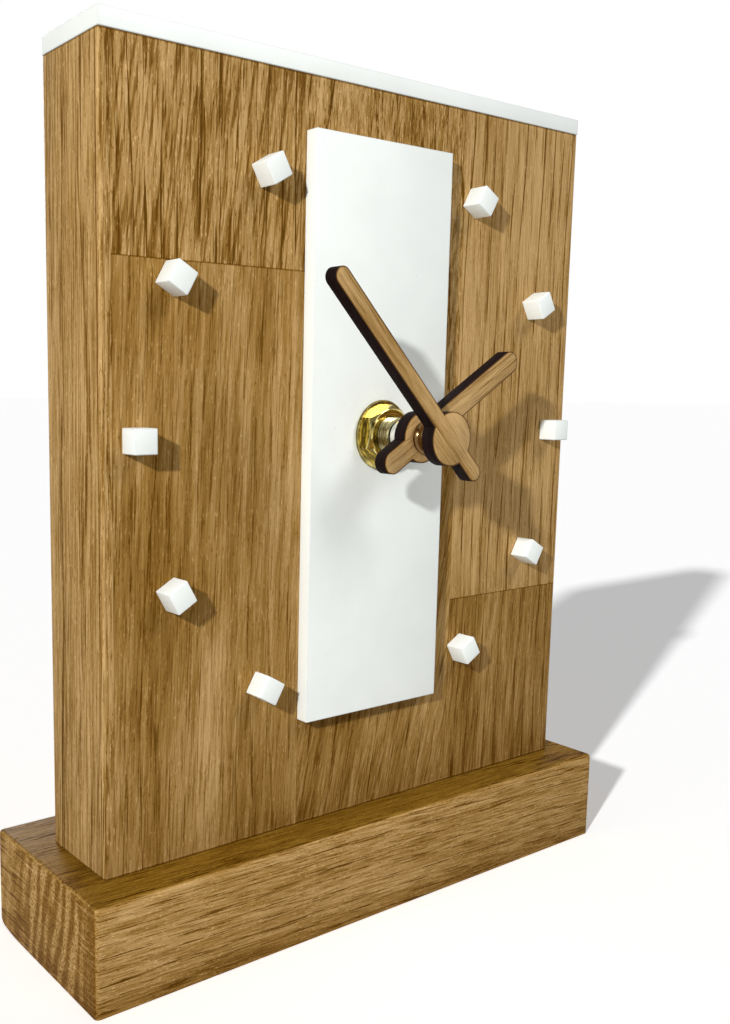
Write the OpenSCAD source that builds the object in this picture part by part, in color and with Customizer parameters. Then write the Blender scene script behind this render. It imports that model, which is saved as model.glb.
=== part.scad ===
// Oak table clock: an upright oak block on an oak plinth, with a white top strip, a white dial
// plate, ten white cubes for the hours and a quartz movement let into the back of the block.
// Millimetres. The origin is the middle of the plinth's underside, +Z is up, the dial faces -Y.

/* [Oak plinth] */
// Width of the plinth, left to right
base_w = 188; // [176:1:230]
// Depth of the plinth, front to back
base_d = 56; // [46:1:90]
// Height of the plinth
base_h = 28; // [24:1:45]
// Radius that eases every edge of the plinth
base_round = 1.8; // [0.6:0.2:4]

/* [Oak body] */
// Width of the upright block
body_w = 170; // [168:1:220]
// Height of the upright block
body_h = 200; // [192:1:240]
// Thickness of the upright block
body_t = 28; // [27:0.5:40]
// How far the block's middle stands in front of the plinth's middle
body_forward = 2.4; // [-6:0.2:6]
// Radius of the block's upright edges
body_round = 1; // [0.4:0.2:2.4]
// Oak left standing between the pocket for the movement and the dial
panel_t = 10; // [7:0.5:11]
// Room left round the movement in its pocket
pocket_gap = 3; // [2:0.25:6]
// Radius that the router leaves in the pocket's corners
pocket_round = 6; // [3:0.5:7]
// Diameter of the two dowels between block and plinth
dowel_d = 8; // [6:0.5:10]
// Length of each dowel
dowel_len = 40; // [24:1:42]
// Distance between the two dowels
dowel_pitch = 110; // [80:1:130]

/* [White trim] */
// Thickness of the strip on top of the block
strip_t = 4.5; // [3:0.25:8]
// Height of the dial's centre above the plinth
dial_rise = 108.3; // [98:0.1:114]
// Width of the dial plate
plate_w = 49.6; // [40:0.2:60]
// Height of the dial plate
plate_h = 155.6; // [130:0.2:168]
// Thickness of the dial plate
plate_t = 4.2; // [3:0.1:6]
// Edge of each hour cube
cube_s = 6.2; // [5:0.1:8]
// Radius of the ring of hour cubes
ring_r = 76.3; // [70:0.1:79]
// Radius that breaks the sharp edges of the white pieces
trim_round = 0.3; // [0.1:0.05:0.8]

/* [Hands] */
// Thickness of the board that both hands are cut from
hand_t = 3.8; // [3:0.1:5]
// Distance from the dial's centre to the hour hand's tip
hour_len = 42; // [34:0.5:50]
// Width of the hour hand
hour_w = 6.2; // [5:0.1:8]
// Distance from the dial's centre to the end of the hour hand's tail
hour_tail = 15.3; // [12:0.1:20]
// Radius of the hour hand's boss
hour_hub_r = 6.8; // [6:0.1:9]
// Hour hand's angle from twelve, clockwise
hour_angle = 59; // [0:1:359]
// Distance from the dial's centre to the minute hand's tip
minute_len = 56.3; // [48:0.1:66]
// Width of the minute hand
minute_w = 4.6; // [3.6:0.1:7]
// Distance from the dial's centre to the end of the minute hand's tail
minute_tail = 15; // [12:0.1:20]
// Radius of the minute hand's boss
minute_hub_r = 7; // [6:0.1:9]
// Minute hand's angle from twelve, clockwise
minute_angle = 315.2; // [0:0.2:359]
// Free space between the two hands
hand_gap = 6.3; // [4:0.1:9]
// Length of the hour hand's tube that shows behind it
hour_tube_len = 4.6; // [2:0.1:7]
// Radius of the hour hand's tube
hour_tube_r = 4.1; // [3.6:0.1:4.4]
// Radius of the minute hand's collet
minute_collet_r = 4.3; // [3.4:0.1:5.4]

/* [Hub] */
// Outside diameter of the threaded bush
bush_d = 10; // [9:0.5:11]
// Length of the thread that shows in front of the nut
bush_spare = 3.1; // [1:0.1:5]
// Diameter of the flange at the back of the bush
flange_d = 14; // [12.5:0.5:17]
// Outside diameter of the washer
washer_d = 19.2; // [17:0.2:24]
// Thickness of the washer
washer_t = 1; // [0.5:0.1:1.5]
// Nut's width across its flats
nut_af = 14.5; // [13:0.5:17]
// Thickness of the nut
nut_t = 3.2; // [2:0.1:5]
// Angle by which the tightened nut is turned from flats at left and right
nut_turn = 6; // [0:1:30]
// Outside diameter of the rubber gasket between movement and oak
gasket_d = 28; // [20:1:44]
// Thickness of the gasket, and of the bush's flange inside it
gasket_t = 1; // [0.6:0.1:1]

/* [Movement] */
// Side of the square movement case
case_w = 56; // [56:0.5:60]
// Thickness of the movement case
case_t = 16; // [16:0.1:17]
// Wall of the movement case
case_wall = 1.4; // [1.2:0.05:1.5]
// Radius of the movement case's corners
case_round = 3; // [1.6:0.2:5]
// Depth of the front half of the case
split_t = 11; // [10.6:0.1:11.2]
// Diameter of the cell
cell_d = 14.5; // [13.6:0.1:14.5]
// Length of the cell with its nub
cell_len = 50.5; // [49:0.1:50.8]
// Diameter of the setting knob
knob_d = 11.2; // [9:0.2:11.6]
// Thickness of the setting knob
knob_t = 2.4; // [1.6:0.1:2.5]
// Radius of the minute arbor
arbor_r = 1.5; // [1.3:0.05:1.6]
// Outside radius of the hour pipe
pipe_r = 2.55; // [2.3:0.05:2.8]
// Module of the going train's slow wheels
slow_mod = 0.28; // [0.276:0.002:0.284]
// Module of the seconds wheel
seconds_mod = 0.26; // [0.25:0.005:0.27]
// Module of the rotor pinion and the wheel that it drives
rotor_mod = 0.2; // [0.19:0.005:0.21]
// Module of the minute pinion and the setting wheel
motion_mod = 0.44; // [0.434:0.002:0.446]
// Thickness of each wheel's toothed disc
wheel_t = 1; // [0.8:0.05:1.1]

/* [Hidden] */
$fn = 72;
eps = 0.01;

// Clearances
run_fit = 0.05;
press_fit = 0.02;
hole_fit = 0.25;
end_play = 0.3;
tooth_gap = 0.06;

// Main planes and the places of the dial and the movement
front_y = -body_forward - body_t / 2;
dial_z = base_h + dial_rise;
body_top = base_h + body_h;
movement_z = -panel_t - gasket_t;
pocket_w = case_w + 2 * pocket_gap;
HOURS = [1, 2, 3, 4, 5, 7, 8, 9, 10, 11];

// Depths along the hand axis, measured forwards from the oak
washer_z = plate_t;
nut_z = washer_z + washer_t;
bush_end = nut_z + nut_t + bush_spare;
hour_z = bush_end + end_play + hour_tube_len;
hour_front = hour_z + hand_t;
minute_z = hour_front + hand_gap;
hour_spigot_r = (pipe_r + hour_tube_r) / 2;
minute_spigot_r = (arbor_r + minute_collet_r) / 2;
minute_spigot_len = hand_t / 2;
bush_chamfer = 0.6;
nut_chamfer = 0.2;

// Wheels: tooth counts of each wheel and pinion
pressure = 25;
addendum = 0.75;
dedendum = 1.05;
centre_teeth = 64;
third_teeth = 60;
third_pinion_teeth = 8;
seconds_teeth = 50;
seconds_pinion_teeth = 8;
inter_teeth = 60;
inter_pinion_teeth = 10;
rotor_pinion_teeth = 10;
minute_pinion_teeth = 12;
setting_teeth = 36;
setting_pinion_teeth = 10;
hour_teeth = 40;

// Arbors: the direction from each arbor to the next and its place behind the dial
third_dir = 125;
seconds_dir = 60;
inter_dir = -20;
rotor_dir = 10;
setting_dir = 0;
setting_dist = motion_mod * (minute_pinion_teeth + setting_teeth) / 2;
hour_mod = 2 * setting_dist / (setting_pinion_teeth + hour_teeth);
centre_at = [0, 0];
third_at = step(centre_at, slow_mod * (centre_teeth + third_pinion_teeth) / 2, third_dir);
seconds_at = step(third_at, slow_mod * (third_teeth + seconds_pinion_teeth) / 2, seconds_dir);
inter_at = step(seconds_at, seconds_mod * (seconds_teeth + inter_pinion_teeth) / 2, inter_dir);
rotor_at = step(inter_at, rotor_mod * (inter_teeth + rotor_pinion_teeth) / 2, rotor_dir);
setting_at = step(centre_at, setting_dist, setting_dir);

// Angles at which the teeth of each arbor stand so that they mesh
centre_phase = 0;
third_phase = mesh_phase(third_dir, centre_phase, centre_teeth, third_pinion_teeth);
seconds_phase = mesh_phase(seconds_dir, third_phase, third_teeth, seconds_pinion_teeth);
inter_phase = mesh_phase(inter_dir, seconds_phase, seconds_teeth, inter_pinion_teeth);
rotor_phase = mesh_phase(rotor_dir, inter_phase, inter_teeth, rotor_pinion_teeth);
minute_phase = 0;
setting_phase = mesh_phase(setting_dir, minute_phase, minute_pinion_teeth, setting_teeth);
hour_phase = mesh_phase(setting_dir + 180, setting_phase, setting_pinion_teeth, hour_teeth);

// Layers inside the case: the middle of each toothed disc, measured back from the case's front
hour_layer = -2.65;
setting_layer = -4.45;
centre_layer = -6.4;
third_layer = -8.2;
seconds_layer = -10;
inter_layer = -11.8;
pinion_extra = 0.4;
pinion_t = wheel_t + pinion_extra;
layer_gap = 0.5;
pivot_r = 0.5;
pivot_len = 1.2;
setting_pivot_len = 1;
staff_r = 0.8;
boss_r = 1.1;
centre_pivot_r = 1;
centre_boss_r = 2;
centre_hub_wall = 1.2;
centre_hub_r = arbor_r + centre_hub_wall;
window_r = 1.5;
window_ring_r = 5.2;
window_step = 72;
setting_staff_r = 1;
knob_spigot_r = 0.8;
knob_cap_t = 0.6;
grip_r = 0.9;
grip_step = 30;

// Case: walls, the bay for the cell and the seat of the cover
wall_in = case_w / 2 - case_wall;
cover_in = -case_t + case_wall;
bay_floor = 1;
bay_play = 0.8;
bay_w = cell_d + bay_play;
bay_low = -case_w / 2 + case_wall;
bay_high = bay_low + bay_w;
tray_low = bay_high + case_wall;
cover_gap = 0.1;
catch_w = 7.6;
catch_t = 0.8;
catch_len = 4;
catch_y = 12;
knob_gap = 0.5;
knob_cup_r = knob_d / 2 + knob_gap;
knob_cup_wall = 1.2;
knob_cup_floor = 1;
knob_floor_z = -case_t + knob_t + 2 * end_play;

// Motor: coil on its core beside the rotor
coil_inset = 4.2;
coil_x = wall_in - coil_inset;
coil_low = -6;
coil_high = 22.5;
core_w = 3.4;
core_t = 1;
stator_z = -8.3;
stator_t = 1;
stator_hole_r = 3;
stator_ring_r = 4.6;
stator_arm_w = 4;
stator_leg_inset = 6.8;
stator_leg_x = coil_x - stator_leg_inset;
magnet_r = 2.5;
magnet_t = 2;
bobbin_r = 3.3;
bobbin_bore = 0.1;
bobbin_flange_t = 0.8;
bobbin_foot = 2.4;
bobbin_head = 5.4;
bobbin_low = coil_low + bobbin_foot;
bobbin_high = coil_high - bobbin_head;
winding_r = 2.9;
tube_wall = 0.5;
peg_r = 0.9;
post_r = 1.6;

// Circuit board with its chip and crystal
board_side_gap = 0.1;
board_lift = 0.2;
board_x = -wall_in + board_side_gap;
board_w = 11;
board_low = tray_low + board_lift;
board_high = 23;
board_z = -4;
board_t = 0.8;
board_peg_x = board_x + board_w / 2;
board_pegs_y = [-4, 20];
chip_r = 3.2;
chip_t = 1.2;
chip_y = 5;
crystal_r = 1.05;
crystal_len = 6.2;
crystal_y = 11;

// Cell and its two contacts: the bay is as long as the bowed leaf can bridge
cell_y = (bay_low + bay_high) / 2;
cell_z = -bay_floor - end_play / 2 - cell_d / 2;
nub_r = 2.75;
nub_len = 1;
contact_t = 0.4;
contact_w = 8;
contact_h = 9;
leaf_h = 7.8;
strip_w = 2.4;
strip_z = -8.4;
leaf_bow = 1.86;
bay_end = min(wall_in, (cell_len + leaf_bow) / 2 + contact_t + press_fit);
cell_plus_x = bay_end - contact_t - press_fit;
cell_minus_x = cell_plus_x - cell_len;
leaf_rise = cell_minus_x - press_fit + bay_end - contact_t;

// The point that lies a distance from another in a direction
function step(from, dist, dir) = from + dist * [cos(dir), sin(dir)];

// The angle of a driven gear whose teeth fall into the gaps of the gear that it meets
function mesh_phase(dir, phase, teeth, driven) =
    dir + 180 + 180 / driven + (dir - phase) * teeth / driven;

// The involute's polar angle at radius r above its base circle
function involute(rb, r) = r <= rb ? 0 : let (c = acos(rb / r)) tan(c) * 180 / PI - c;

// Half of a tooth's angle at radius r
function half_tooth(teeth, rp, r) =
    let (rb = rp * cos(pressure))
    90 / teeth - tooth_gap / 2 / rp * 180 / PI + involute(rb, rp) - involute(rb, r);

// Outline of a gear with a tooth at the angle zero
function gear_outline(teeth, mod) =
    let (rp = teeth * mod / 2,
         root = rp - dedendum * mod,
         foot = max(root, rp * cos(pressure)),
         radii = [root, (foot + rp) / 2, rp, rp + addendum * mod])
    [for (i = [0 : teeth - 1], side = [-1, 1], k = [0 : 3])
        let (r = radii[side < 0 ? k : 3 - k],
             a = 360 / teeth * i + side * half_tooth(teeth, rp, r))
        r * [cos(a), sin(a)]];

// Places children on the dial: x right, y up, z towards the viewer, from the oak's front
module on_dial() translate([0, front_y, dial_z]) rotate([90, 0, 0]) children();

// Places children in the movement: z is measured from the front of its case
module in_movement() on_dial() translate([0, 0, movement_z]) children();

// Rectangle with round corners
module rounded_rect(w, h, r) {
    square([w - 2 * r, h], center = true);
    square([w, h - 2 * r], center = true);
    for (x = [-1, 1], y = [-1, 1])
        translate([x * (w / 2 - r), y * (h / 2 - r)]) circle(r);
}

// Block with every edge eased
module eased_block(w, d, h, r) {
    intersection() {
        linear_extrude(h, center = true) rounded_rect(w, d, r);
        rotate([90, 0, 0]) linear_extrude(d, center = true) rounded_rect(w, h, r);
        rotate([90, 0, 90]) linear_extrude(w, center = true) rounded_rect(d, h, r);
    }
}

// Round rod or hole between two depths
module rod(r, z0, z1) translate([0, 0, min(z0, z1)]) cylinder(h = abs(z1 - z0), r = r);

// Toothed disc around a layer's middle
module gear(teeth, mod, phase, layer, t) {
    translate([0, 0, layer - t / 2]) rotate(phase)
        linear_extrude(t) polygon(gear_outline(teeth, mod));
}

// Flat bar with round ends from one point to another
module bar(from, to, w) {
    d = to - from;
    for (p = [from, to]) translate(p) circle(d = w);
    translate(from) rotate(atan2(d.y, d.x)) translate([0, -w / 2]) square([norm(d), w]);
}

// Outline of a hand that points up: a round boss, an arm and a tail with round ends
module hand_outline(len, tail, w, hub_r) {
    circle(hub_r);
    bar([0, w / 2 - tail], [0, len - w / 2], w);
}

module dowel_places() {
    for (x = [-1, 1]) translate([x * dowel_pitch / 2, -body_forward, base_h]) children();
}

module base() {
    color("peru") difference() {
        translate([0, 0, base_h / 2]) eased_block(base_w, base_d, base_h, base_round);
        dowel_places() rod(dowel_d / 2 + run_fit, -dowel_len / 2 - end_play, base_round);
    }
}

module body() {
    color("peru") difference() {
        translate([0, -body_forward, base_h]) linear_extrude(body_h)
            rounded_rect(body_w, body_t, body_round);
        dowel_places() rod(dowel_d / 2 + run_fit, -eps, dowel_len / 2 + end_play);
        on_dial() {
            rod(bush_d / 2 + hole_fit, -body_t, eps);
            translate([0, 0, -body_t - eps]) linear_extrude(body_t - panel_t + eps)
                rounded_rect(pocket_w, pocket_w, pocket_round);
        }
    }
}

module top_strip() {
    color("white") translate([0, -body_forward, body_top + strip_t / 2])
        eased_block(body_w, body_t, strip_t, trim_round);
}

module dial_plate() {
    color("white") on_dial() difference() {
        translate([0, 0, plate_t / 2]) eased_block(plate_w, plate_h, plate_t, trim_round);
        rod(bush_d / 2 + hole_fit, -eps, plate_t + eps);
    }
}

module hour_cube(h) {
    color("white") on_dial() rotate(-30 * h) translate([0, ring_r, cube_s / 2])
        eased_block(cube_s, cube_s, cube_s, trim_round);
}

module dowels() {
    color("burlywood") dowel_places() rod(dowel_d / 2, -dowel_len / 2, dowel_len / 2);
}

module hour_hand() {
    color("tan") on_dial() difference() {
        translate([0, 0, hour_z]) rotate(-hour_angle) linear_extrude(hand_t)
            hand_outline(hour_len, hour_tail, hour_w, hour_hub_r);
        rod(hour_spigot_r + press_fit, hour_z - eps, hour_front + eps);
    }
}

// Tube behind the hour hand, with a spigot through the hand, pressed on the hour pipe
module hour_hand_tube() {
    color("silver") on_dial() difference() {
        union() {
            rod(hour_tube_r, hour_z - hour_tube_len, hour_z);
            rod(hour_spigot_r, hour_z - eps, hour_front);
        }
        rod(pipe_r + press_fit, hour_z - hour_tube_len - eps, hour_front + eps);
    }
}

module minute_hand() {
    color("tan") on_dial() difference() {
        translate([0, 0, minute_z]) rotate(-minute_angle) linear_extrude(hand_t)
            hand_outline(minute_len, minute_tail, minute_w, minute_hub_r);
        rod(minute_spigot_r + press_fit, minute_z - eps, minute_z + minute_spigot_len + press_fit);
    }
}

// Collet behind the minute hand, glued into its back and pressed on the minute arbor
module minute_hand_collet() {
    color("goldenrod") on_dial() difference() {
        union() {
            rod(minute_collet_r, hour_front + end_play, minute_z);
            rod(minute_spigot_r, minute_z - eps, minute_z + minute_spigot_len);
        }
        rod(arbor_r + press_fit, hour_front, minute_z + press_fit);
    }
}

module hand_nut() {
    corner_r = nut_af / 2 / cos(30);
    rim_r = nut_af / 2 - nut_chamfer;
    rise = (corner_r - rim_r) * tan(30);
    color("gold") on_dial() translate([0, 0, nut_z]) difference() {
        intersection() {
            rotate(30 - nut_turn) cylinder(h = nut_t, r = corner_r, $fn = 6);
            rotate_extrude() polygon([
                [0, 0], [corner_r, 0], [corner_r, nut_t - rise], [rim_r, nut_t], [0, nut_t]]);
        }
        rod(bush_d / 2 + run_fit, -eps, nut_t + eps);
    }
}

module nut_washer() {
    color("gold") on_dial() difference() {
        rod(washer_d / 2, washer_z, nut_z);
        rod(bush_d / 2 + hole_fit, washer_z - eps, nut_z + eps);
    }
}

module rubber_gasket() {
    color("dimgray") in_movement() difference() {
        rod(gasket_d / 2, 0, gasket_t);
        rod(flange_d / 2 + run_fit, -eps, gasket_t + eps);
    }
}

// Threaded bush: its flange is drawn against the oak, its tail is fixed in the case
module threaded_bush() {
    end = bush_end - movement_z;
    profile = [[pipe_r + run_fit, -case_wall], [bush_d / 2, -case_wall], [bush_d / 2, 0],
               [flange_d / 2, 0], [flange_d / 2, gasket_t], [bush_d / 2, gasket_t],
               [bush_d / 2, end - bush_chamfer], [bush_d / 2 - bush_chamfer, end],
               [pipe_r + run_fit, end]];
    color("goldenrod") in_movement() rotate_extrude() polygon(profile);
}

module case_outline(inset) {
    rounded_rect(case_w - 2 * inset, case_w - 2 * inset, case_round - inset);
}

// Half plane above (side 1) or below (side -1) a line across the case
module band(y, side) {
    translate([-case_w, side > 0 ? y : y - 2 * case_w]) square(2 * case_w);
}

// Boss with a blind pivot hole, from a wall to the shoulder of an arbor
module pivot_boss(at, r, hole_r, wall_z, end_z, hole_len) {
    back = wall_z > end_z ? 1 : -1;
    translate(at) difference() {
        rod(r, wall_z + back * eps, end_z);
        rod(hole_r, end_z - back * eps, end_z + back * hole_len);
    }
}

// Shoulders of each arbor: where its front and rear bosses end
function front_end(layer, t) = layer + t / 2 + layer_gap;
function rear_end(layer, t) = layer - t / 2 - layer_gap;

// Front half of the case, with the bay for the cell, front bosses and posts
module movement_case() {
    hole_len = pivot_len + end_play;
    color("black") in_movement() {
        difference() {
            union() {
                train_tray();
                cell_trough();
            }
            translate([0, 0, -case_t - eps]) linear_extrude(case_t - case_wall + eps)
                intersection() {
                    case_outline(case_wall);
                    band(tray_low, 1);
                }
            translate([-bay_end, bay_low, -case_t - eps])
                cube([2 * bay_end, bay_w, case_t - bay_floor + eps]);
            for (x = [-bay_end - eps, bay_end - contact_t - end_play])
                translate([x, bay_high - eps, -case_t - eps])
                    cube([contact_t + end_play + eps, case_wall + 2 * eps,
                          case_t + strip_z + strip_w / 2 + end_play]);
            for (x = [-1, 1])
                translate([x * case_w / 2, catch_y, -split_t + catch_len / 2])
                    cube([2 * (catch_t + cover_gap), catch_w + 2 * cover_gap,
                          catch_len + 2 * end_play], center = true);
            rod(bush_d / 2 + press_fit, -case_wall - eps, eps);
            translate(setting_at)
                rod(pivot_r + run_fit, -case_wall - eps, -case_wall + setting_pivot_len + run_fit);
        }
        pivot_boss(third_at, boss_r, pivot_r + run_fit, -case_wall,
                   front_end(centre_layer, pinion_t), hole_len);
        pivot_boss(seconds_at, boss_r, pivot_r + run_fit, -case_wall,
                   front_end(third_layer, pinion_t), hole_len);
        pivot_boss(inter_at, boss_r, pivot_r + run_fit, -case_wall,
                   front_end(seconds_layer, pinion_t), hole_len);
        pivot_boss(rotor_at, boss_r, pivot_r + run_fit, -case_wall,
                   front_end(stator_z + stator_t / 2, magnet_t), hole_len);
        for (y = [coil_low, coil_high]) translate([coil_x, y]) {
            rod(post_r, -case_wall + eps, stator_z + stator_t);
            rod(peg_r, -case_wall, stator_z - core_t - end_play);
        }
        for (y = board_pegs_y) translate([board_peg_x, y]) {
            rod(post_r, -case_wall + eps, board_z);
            rod(peg_r, -case_wall, board_z - board_t - end_play);
        }
    }
}

// Tray that carries the train
module train_tray() {
    translate([0, 0, -split_t]) linear_extrude(split_t) case_outline(0);
}

// Trough of full depth that carries the cell
module cell_trough() {
    translate([0, 0, -case_t]) linear_extrude(case_t) intersection() {
        case_outline(0);
        band(tray_low, -1);
    }
}

// Rear cover over the train, with rear bosses, side catches and the cup for the knob
module movement_cover() {
    hole_len = pivot_len + end_play;
    color("black") in_movement() {
        difference() {
            union() {
                difference() {
                    translate([0, 0, -case_t]) linear_extrude(case_t - split_t - cover_gap)
                        intersection() {
                            case_outline(0);
                            band(tray_low + cover_gap, 1);
                        }
                    translate([0, 0, cover_in]) linear_extrude(case_t)
                        intersection() {
                            case_outline(case_wall);
                            band(tray_low + cover_gap + case_wall, 1);
                        }
                }
                translate(setting_at)
                    rod(knob_cup_r + knob_cup_wall, cover_in - eps, knob_floor_z + knob_cup_floor);
            }
            translate(setting_at) {
                rod(knob_cup_r, -case_t - eps, knob_floor_z);
                rod(setting_staff_r + run_fit, knob_floor_z - eps, -split_t);
            }
        }
        for (x = [-1, 1])
            translate([x * (case_w - catch_t) / 2, catch_y, -split_t - cover_gap + catch_len / 2])
                cube([catch_t, catch_w, catch_len + 2 * eps], center = true);
        pivot_boss(centre_at, centre_boss_r, centre_pivot_r + run_fit, cover_in,
                   rear_end(third_layer, wheel_t), 2 * pivot_len + end_play);
        pivot_boss(third_at, boss_r, pivot_r + run_fit, cover_in,
                   rear_end(third_layer, wheel_t), hole_len);
        pivot_boss(seconds_at, boss_r, pivot_r + run_fit, cover_in,
                   rear_end(seconds_layer, wheel_t), hole_len);
        pivot_boss(inter_at, boss_r, pivot_r + run_fit, cover_in,
                   rear_end(inter_layer, wheel_t), hole_len);
        pivot_boss(rotor_at, boss_r, pivot_r + run_fit, cover_in,
                   rear_end(inter_layer, pinion_t), hole_len);
    }
}

// Staff with a pivot at each end, between two bosses
module staff(front, rear) {
    rod(staff_r, front - end_play / 2, rear + end_play / 2);
    rod(pivot_r, front + pivot_len, rear - pivot_len);
}

// Wheel with its pinion on one staff, both moulded in one piece
module train_wheel(at, phase, teeth, mod, layer, pinion_teeth, pinion_mod, pinion_layer) {
    translate(at) {
        gear(teeth, mod, phase, layer, wheel_t);
        gear(pinion_teeth, pinion_mod, phase, pinion_layer, pinion_t);
        staff(front_end(pinion_layer, pinion_t), rear_end(layer, wheel_t));
    }
}

// Hour wheel with the pipe that carries the hour hand
module hour_wheel() {
    color("ivory") in_movement() difference() {
        union() {
            gear(hour_teeth, hour_mod, hour_phase, hour_layer, wheel_t);
            rod(pipe_r, hour_layer, hour_front - end_play - movement_z);
        }
        rod(arbor_r + run_fit, hour_layer - wheel_t, hour_front - movement_z);
    }
}

// Arbor that carries the minute hand, with the pinion that drives the motion work
module minute_arbor() {
    color("silver") in_movement() {
        rod(arbor_r, centre_layer - wheel_t / 2 - end_play, minute_z - movement_z);
        gear(minute_pinion_teeth, motion_mod, minute_phase, setting_layer, pinion_t);
        rod(centre_pivot_r, centre_layer, rear_end(third_layer, wheel_t) - 2 * pivot_len);
    }
}

// Centre wheel, which grips the minute arbor by friction and slips when the hands are set
module centre_wheel() {
    color("goldenrod") in_movement() difference() {
        union() {
            gear(centre_teeth, slow_mod, centre_phase, centre_layer, wheel_t);
            rod(centre_hub_r, centre_layer - wheel_t / 2, centre_layer + wheel_t / 2 + layer_gap / 2);
        }
        rod(arbor_r + run_fit, centre_layer - wheel_t, centre_layer + 2 * wheel_t);
        for (a = [0 : window_step : 359]) rotate(a) translate([window_ring_r, 0])
            rod(window_r, centre_layer - wheel_t, centre_layer + wheel_t);
    }
}

module third_wheel() {
    color("ivory") in_movement()
        train_wheel(third_at, third_phase, third_teeth, slow_mod, third_layer,
                    third_pinion_teeth, slow_mod, centre_layer);
}

module seconds_wheel() {
    color("ivory") in_movement()
        train_wheel(seconds_at, seconds_phase, seconds_teeth, seconds_mod, seconds_layer,
                    seconds_pinion_teeth, slow_mod, third_layer);
}

module intermediate_wheel() {
    color("ivory") in_movement()
        train_wheel(inter_at, inter_phase, inter_teeth, rotor_mod, inter_layer,
                    inter_pinion_teeth, seconds_mod, seconds_layer);
}

module rotor_magnet() {
    middle = stator_z + stator_t / 2;
    color("dimgray") in_movement() translate(rotor_at) difference() {
        rod(magnet_r, middle - magnet_t / 2, middle + magnet_t / 2);
        rod(staff_r + press_fit, middle - magnet_t, middle + magnet_t);
    }
}

module rotor_pinion() {
    color("ivory") in_movement() translate(rotor_at) {
        gear(rotor_pinion_teeth, rotor_mod, rotor_phase, inter_layer, pinion_t);
        staff(front_end(stator_z + stator_t / 2, magnet_t), rear_end(inter_layer, pinion_t));
    }
}

// Setting wheel with its pinion, on a staff that reaches the knob at the back
module setting_wheel() {
    color("ivory") in_movement() translate(setting_at) {
        gear(setting_teeth, motion_mod, setting_phase, setting_layer, wheel_t);
        gear(setting_pinion_teeth, hour_mod, setting_phase, hour_layer, pinion_t);
        rod(setting_staff_r, hour_layer, knob_floor_z - end_play);
        rod(pivot_r, hour_layer, -case_wall + setting_pivot_len - end_play / 2);
        rod(knob_spigot_r, knob_floor_z, -case_t + end_play + knob_cap_t);
    }
}

// Knob with a finger-grip rim
module setting_knob() {
    top = knob_floor_z - end_play;
    color("black") in_movement() translate(setting_at) difference() {
        rod(knob_d / 2, top, top - knob_t);
        rod(knob_spigot_r + press_fit, top + eps, -case_t + end_play + knob_cap_t - press_fit);
        for (a = [0 : grip_step : 359]) rotate(a) translate([knob_d / 2 + grip_r / 3, 0])
            rod(grip_r, top + eps, top - knob_t - eps);
    }
}

// Stator: a ring round the rotor with a short arm and a long leg to the coil's ends
module stator() {
    color("silver") in_movement() translate([0, 0, stator_z]) linear_extrude(stator_t)
        difference() {
            union() {
                translate(rotor_at) circle(stator_ring_r);
                bar(rotor_at, [coil_x, coil_high], stator_arm_w);
                bar(rotor_at, [stator_leg_x, coil_low], stator_arm_w);
                bar([stator_leg_x, coil_low], [coil_x, coil_low], stator_arm_w);
            }
            translate(rotor_at) circle(stator_hole_r);
            for (y = [coil_low, coil_high]) translate([coil_x, y]) circle(peg_r + run_fit);
        }
}

module coil_core() {
    color("silver") in_movement() translate([0, 0, stator_z - core_t]) linear_extrude(core_t)
        difference() {
            bar([coil_x, coil_low], [coil_x, coil_high], core_w);
            for (y = [coil_low, coil_high]) translate([coil_x, y]) circle(peg_r + run_fit);
        }
}

// Places children at the coil, with z along its core from its lower flange
module along_coil() {
    translate([coil_x, bobbin_low, stator_z - core_t / 2]) rotate([-90, 0, 0]) children();
}

module coil_bobbin() {
    len = bobbin_high - bobbin_low;
    color("white") in_movement() along_coil() difference() {
        union() {
            rod(core_w / 2 + tube_wall, 0, len);
            rod(bobbin_r, 0, bobbin_flange_t);
            rod(bobbin_r, len - bobbin_flange_t, len);
        }
        translate([0, 0, len / 2])
            cube([core_w + 2 * bobbin_bore, core_t + 2 * bobbin_bore, 2 * len], center = true);
    }
}

module coil_winding() {
    len = bobbin_high - bobbin_low;
    color("chocolate") in_movement() along_coil() difference() {
        rod(winding_r, bobbin_flange_t + press_fit, len - bobbin_flange_t - press_fit);
        rod(core_w / 2 + tube_wall + press_fit, 0, len);
    }
}

module circuit_board() {
    color("darkgreen") in_movement() translate([0, 0, board_z - board_t]) linear_extrude(board_t)
        difference() {
            translate([board_x, board_low]) square([board_w, board_high - board_low]);
            for (y = board_pegs_y) translate([board_peg_x, y]) circle(peg_r + run_fit);
        }
}

// Domed cover over the chip
module chip_cover() {
    dome_r = (chip_r * chip_r + chip_t * chip_t) / (2 * chip_t);
    color("black") in_movement() translate([board_peg_x, chip_y, board_z - board_t])
        intersection() {
            translate([0, 0, dome_r - chip_t]) sphere(dome_r);
            rod(chip_r + eps, 0, -chip_t - eps);
        }
}

module quartz_crystal() {
    color("silver") in_movement()
        translate([board_peg_x, crystal_y, board_z - board_t - crystal_r - press_fit])
            rotate([-90, 0, 0]) rod(crystal_r, 0, crystal_len);
}

module cell() {
    color("slategray") in_movement() translate([cell_minus_x, cell_y, cell_z]) rotate([0, 90, 0]) {
        rod(cell_d / 2, 0, cell_len - nub_len);
        rod(nub_r, 0, cell_len);
    }
}

// Contact plate seen along the cell: a square foot and a neck that leaves the bay
module contact_outline(neck_end) {
    translate([cell_y - contact_w / 2, cell_z - contact_h / 2]) square([contact_w, contact_h]);
    translate([cell_y, strip_z - strip_w / 2]) square([neck_end - cell_y, strip_w]);
}

// Sets an outline drawn over y and z upright across the case, from x towards the right
module across(x, t) translate([x, 0, 0]) rotate([90, 0, 90]) linear_extrude(t) children();

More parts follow.
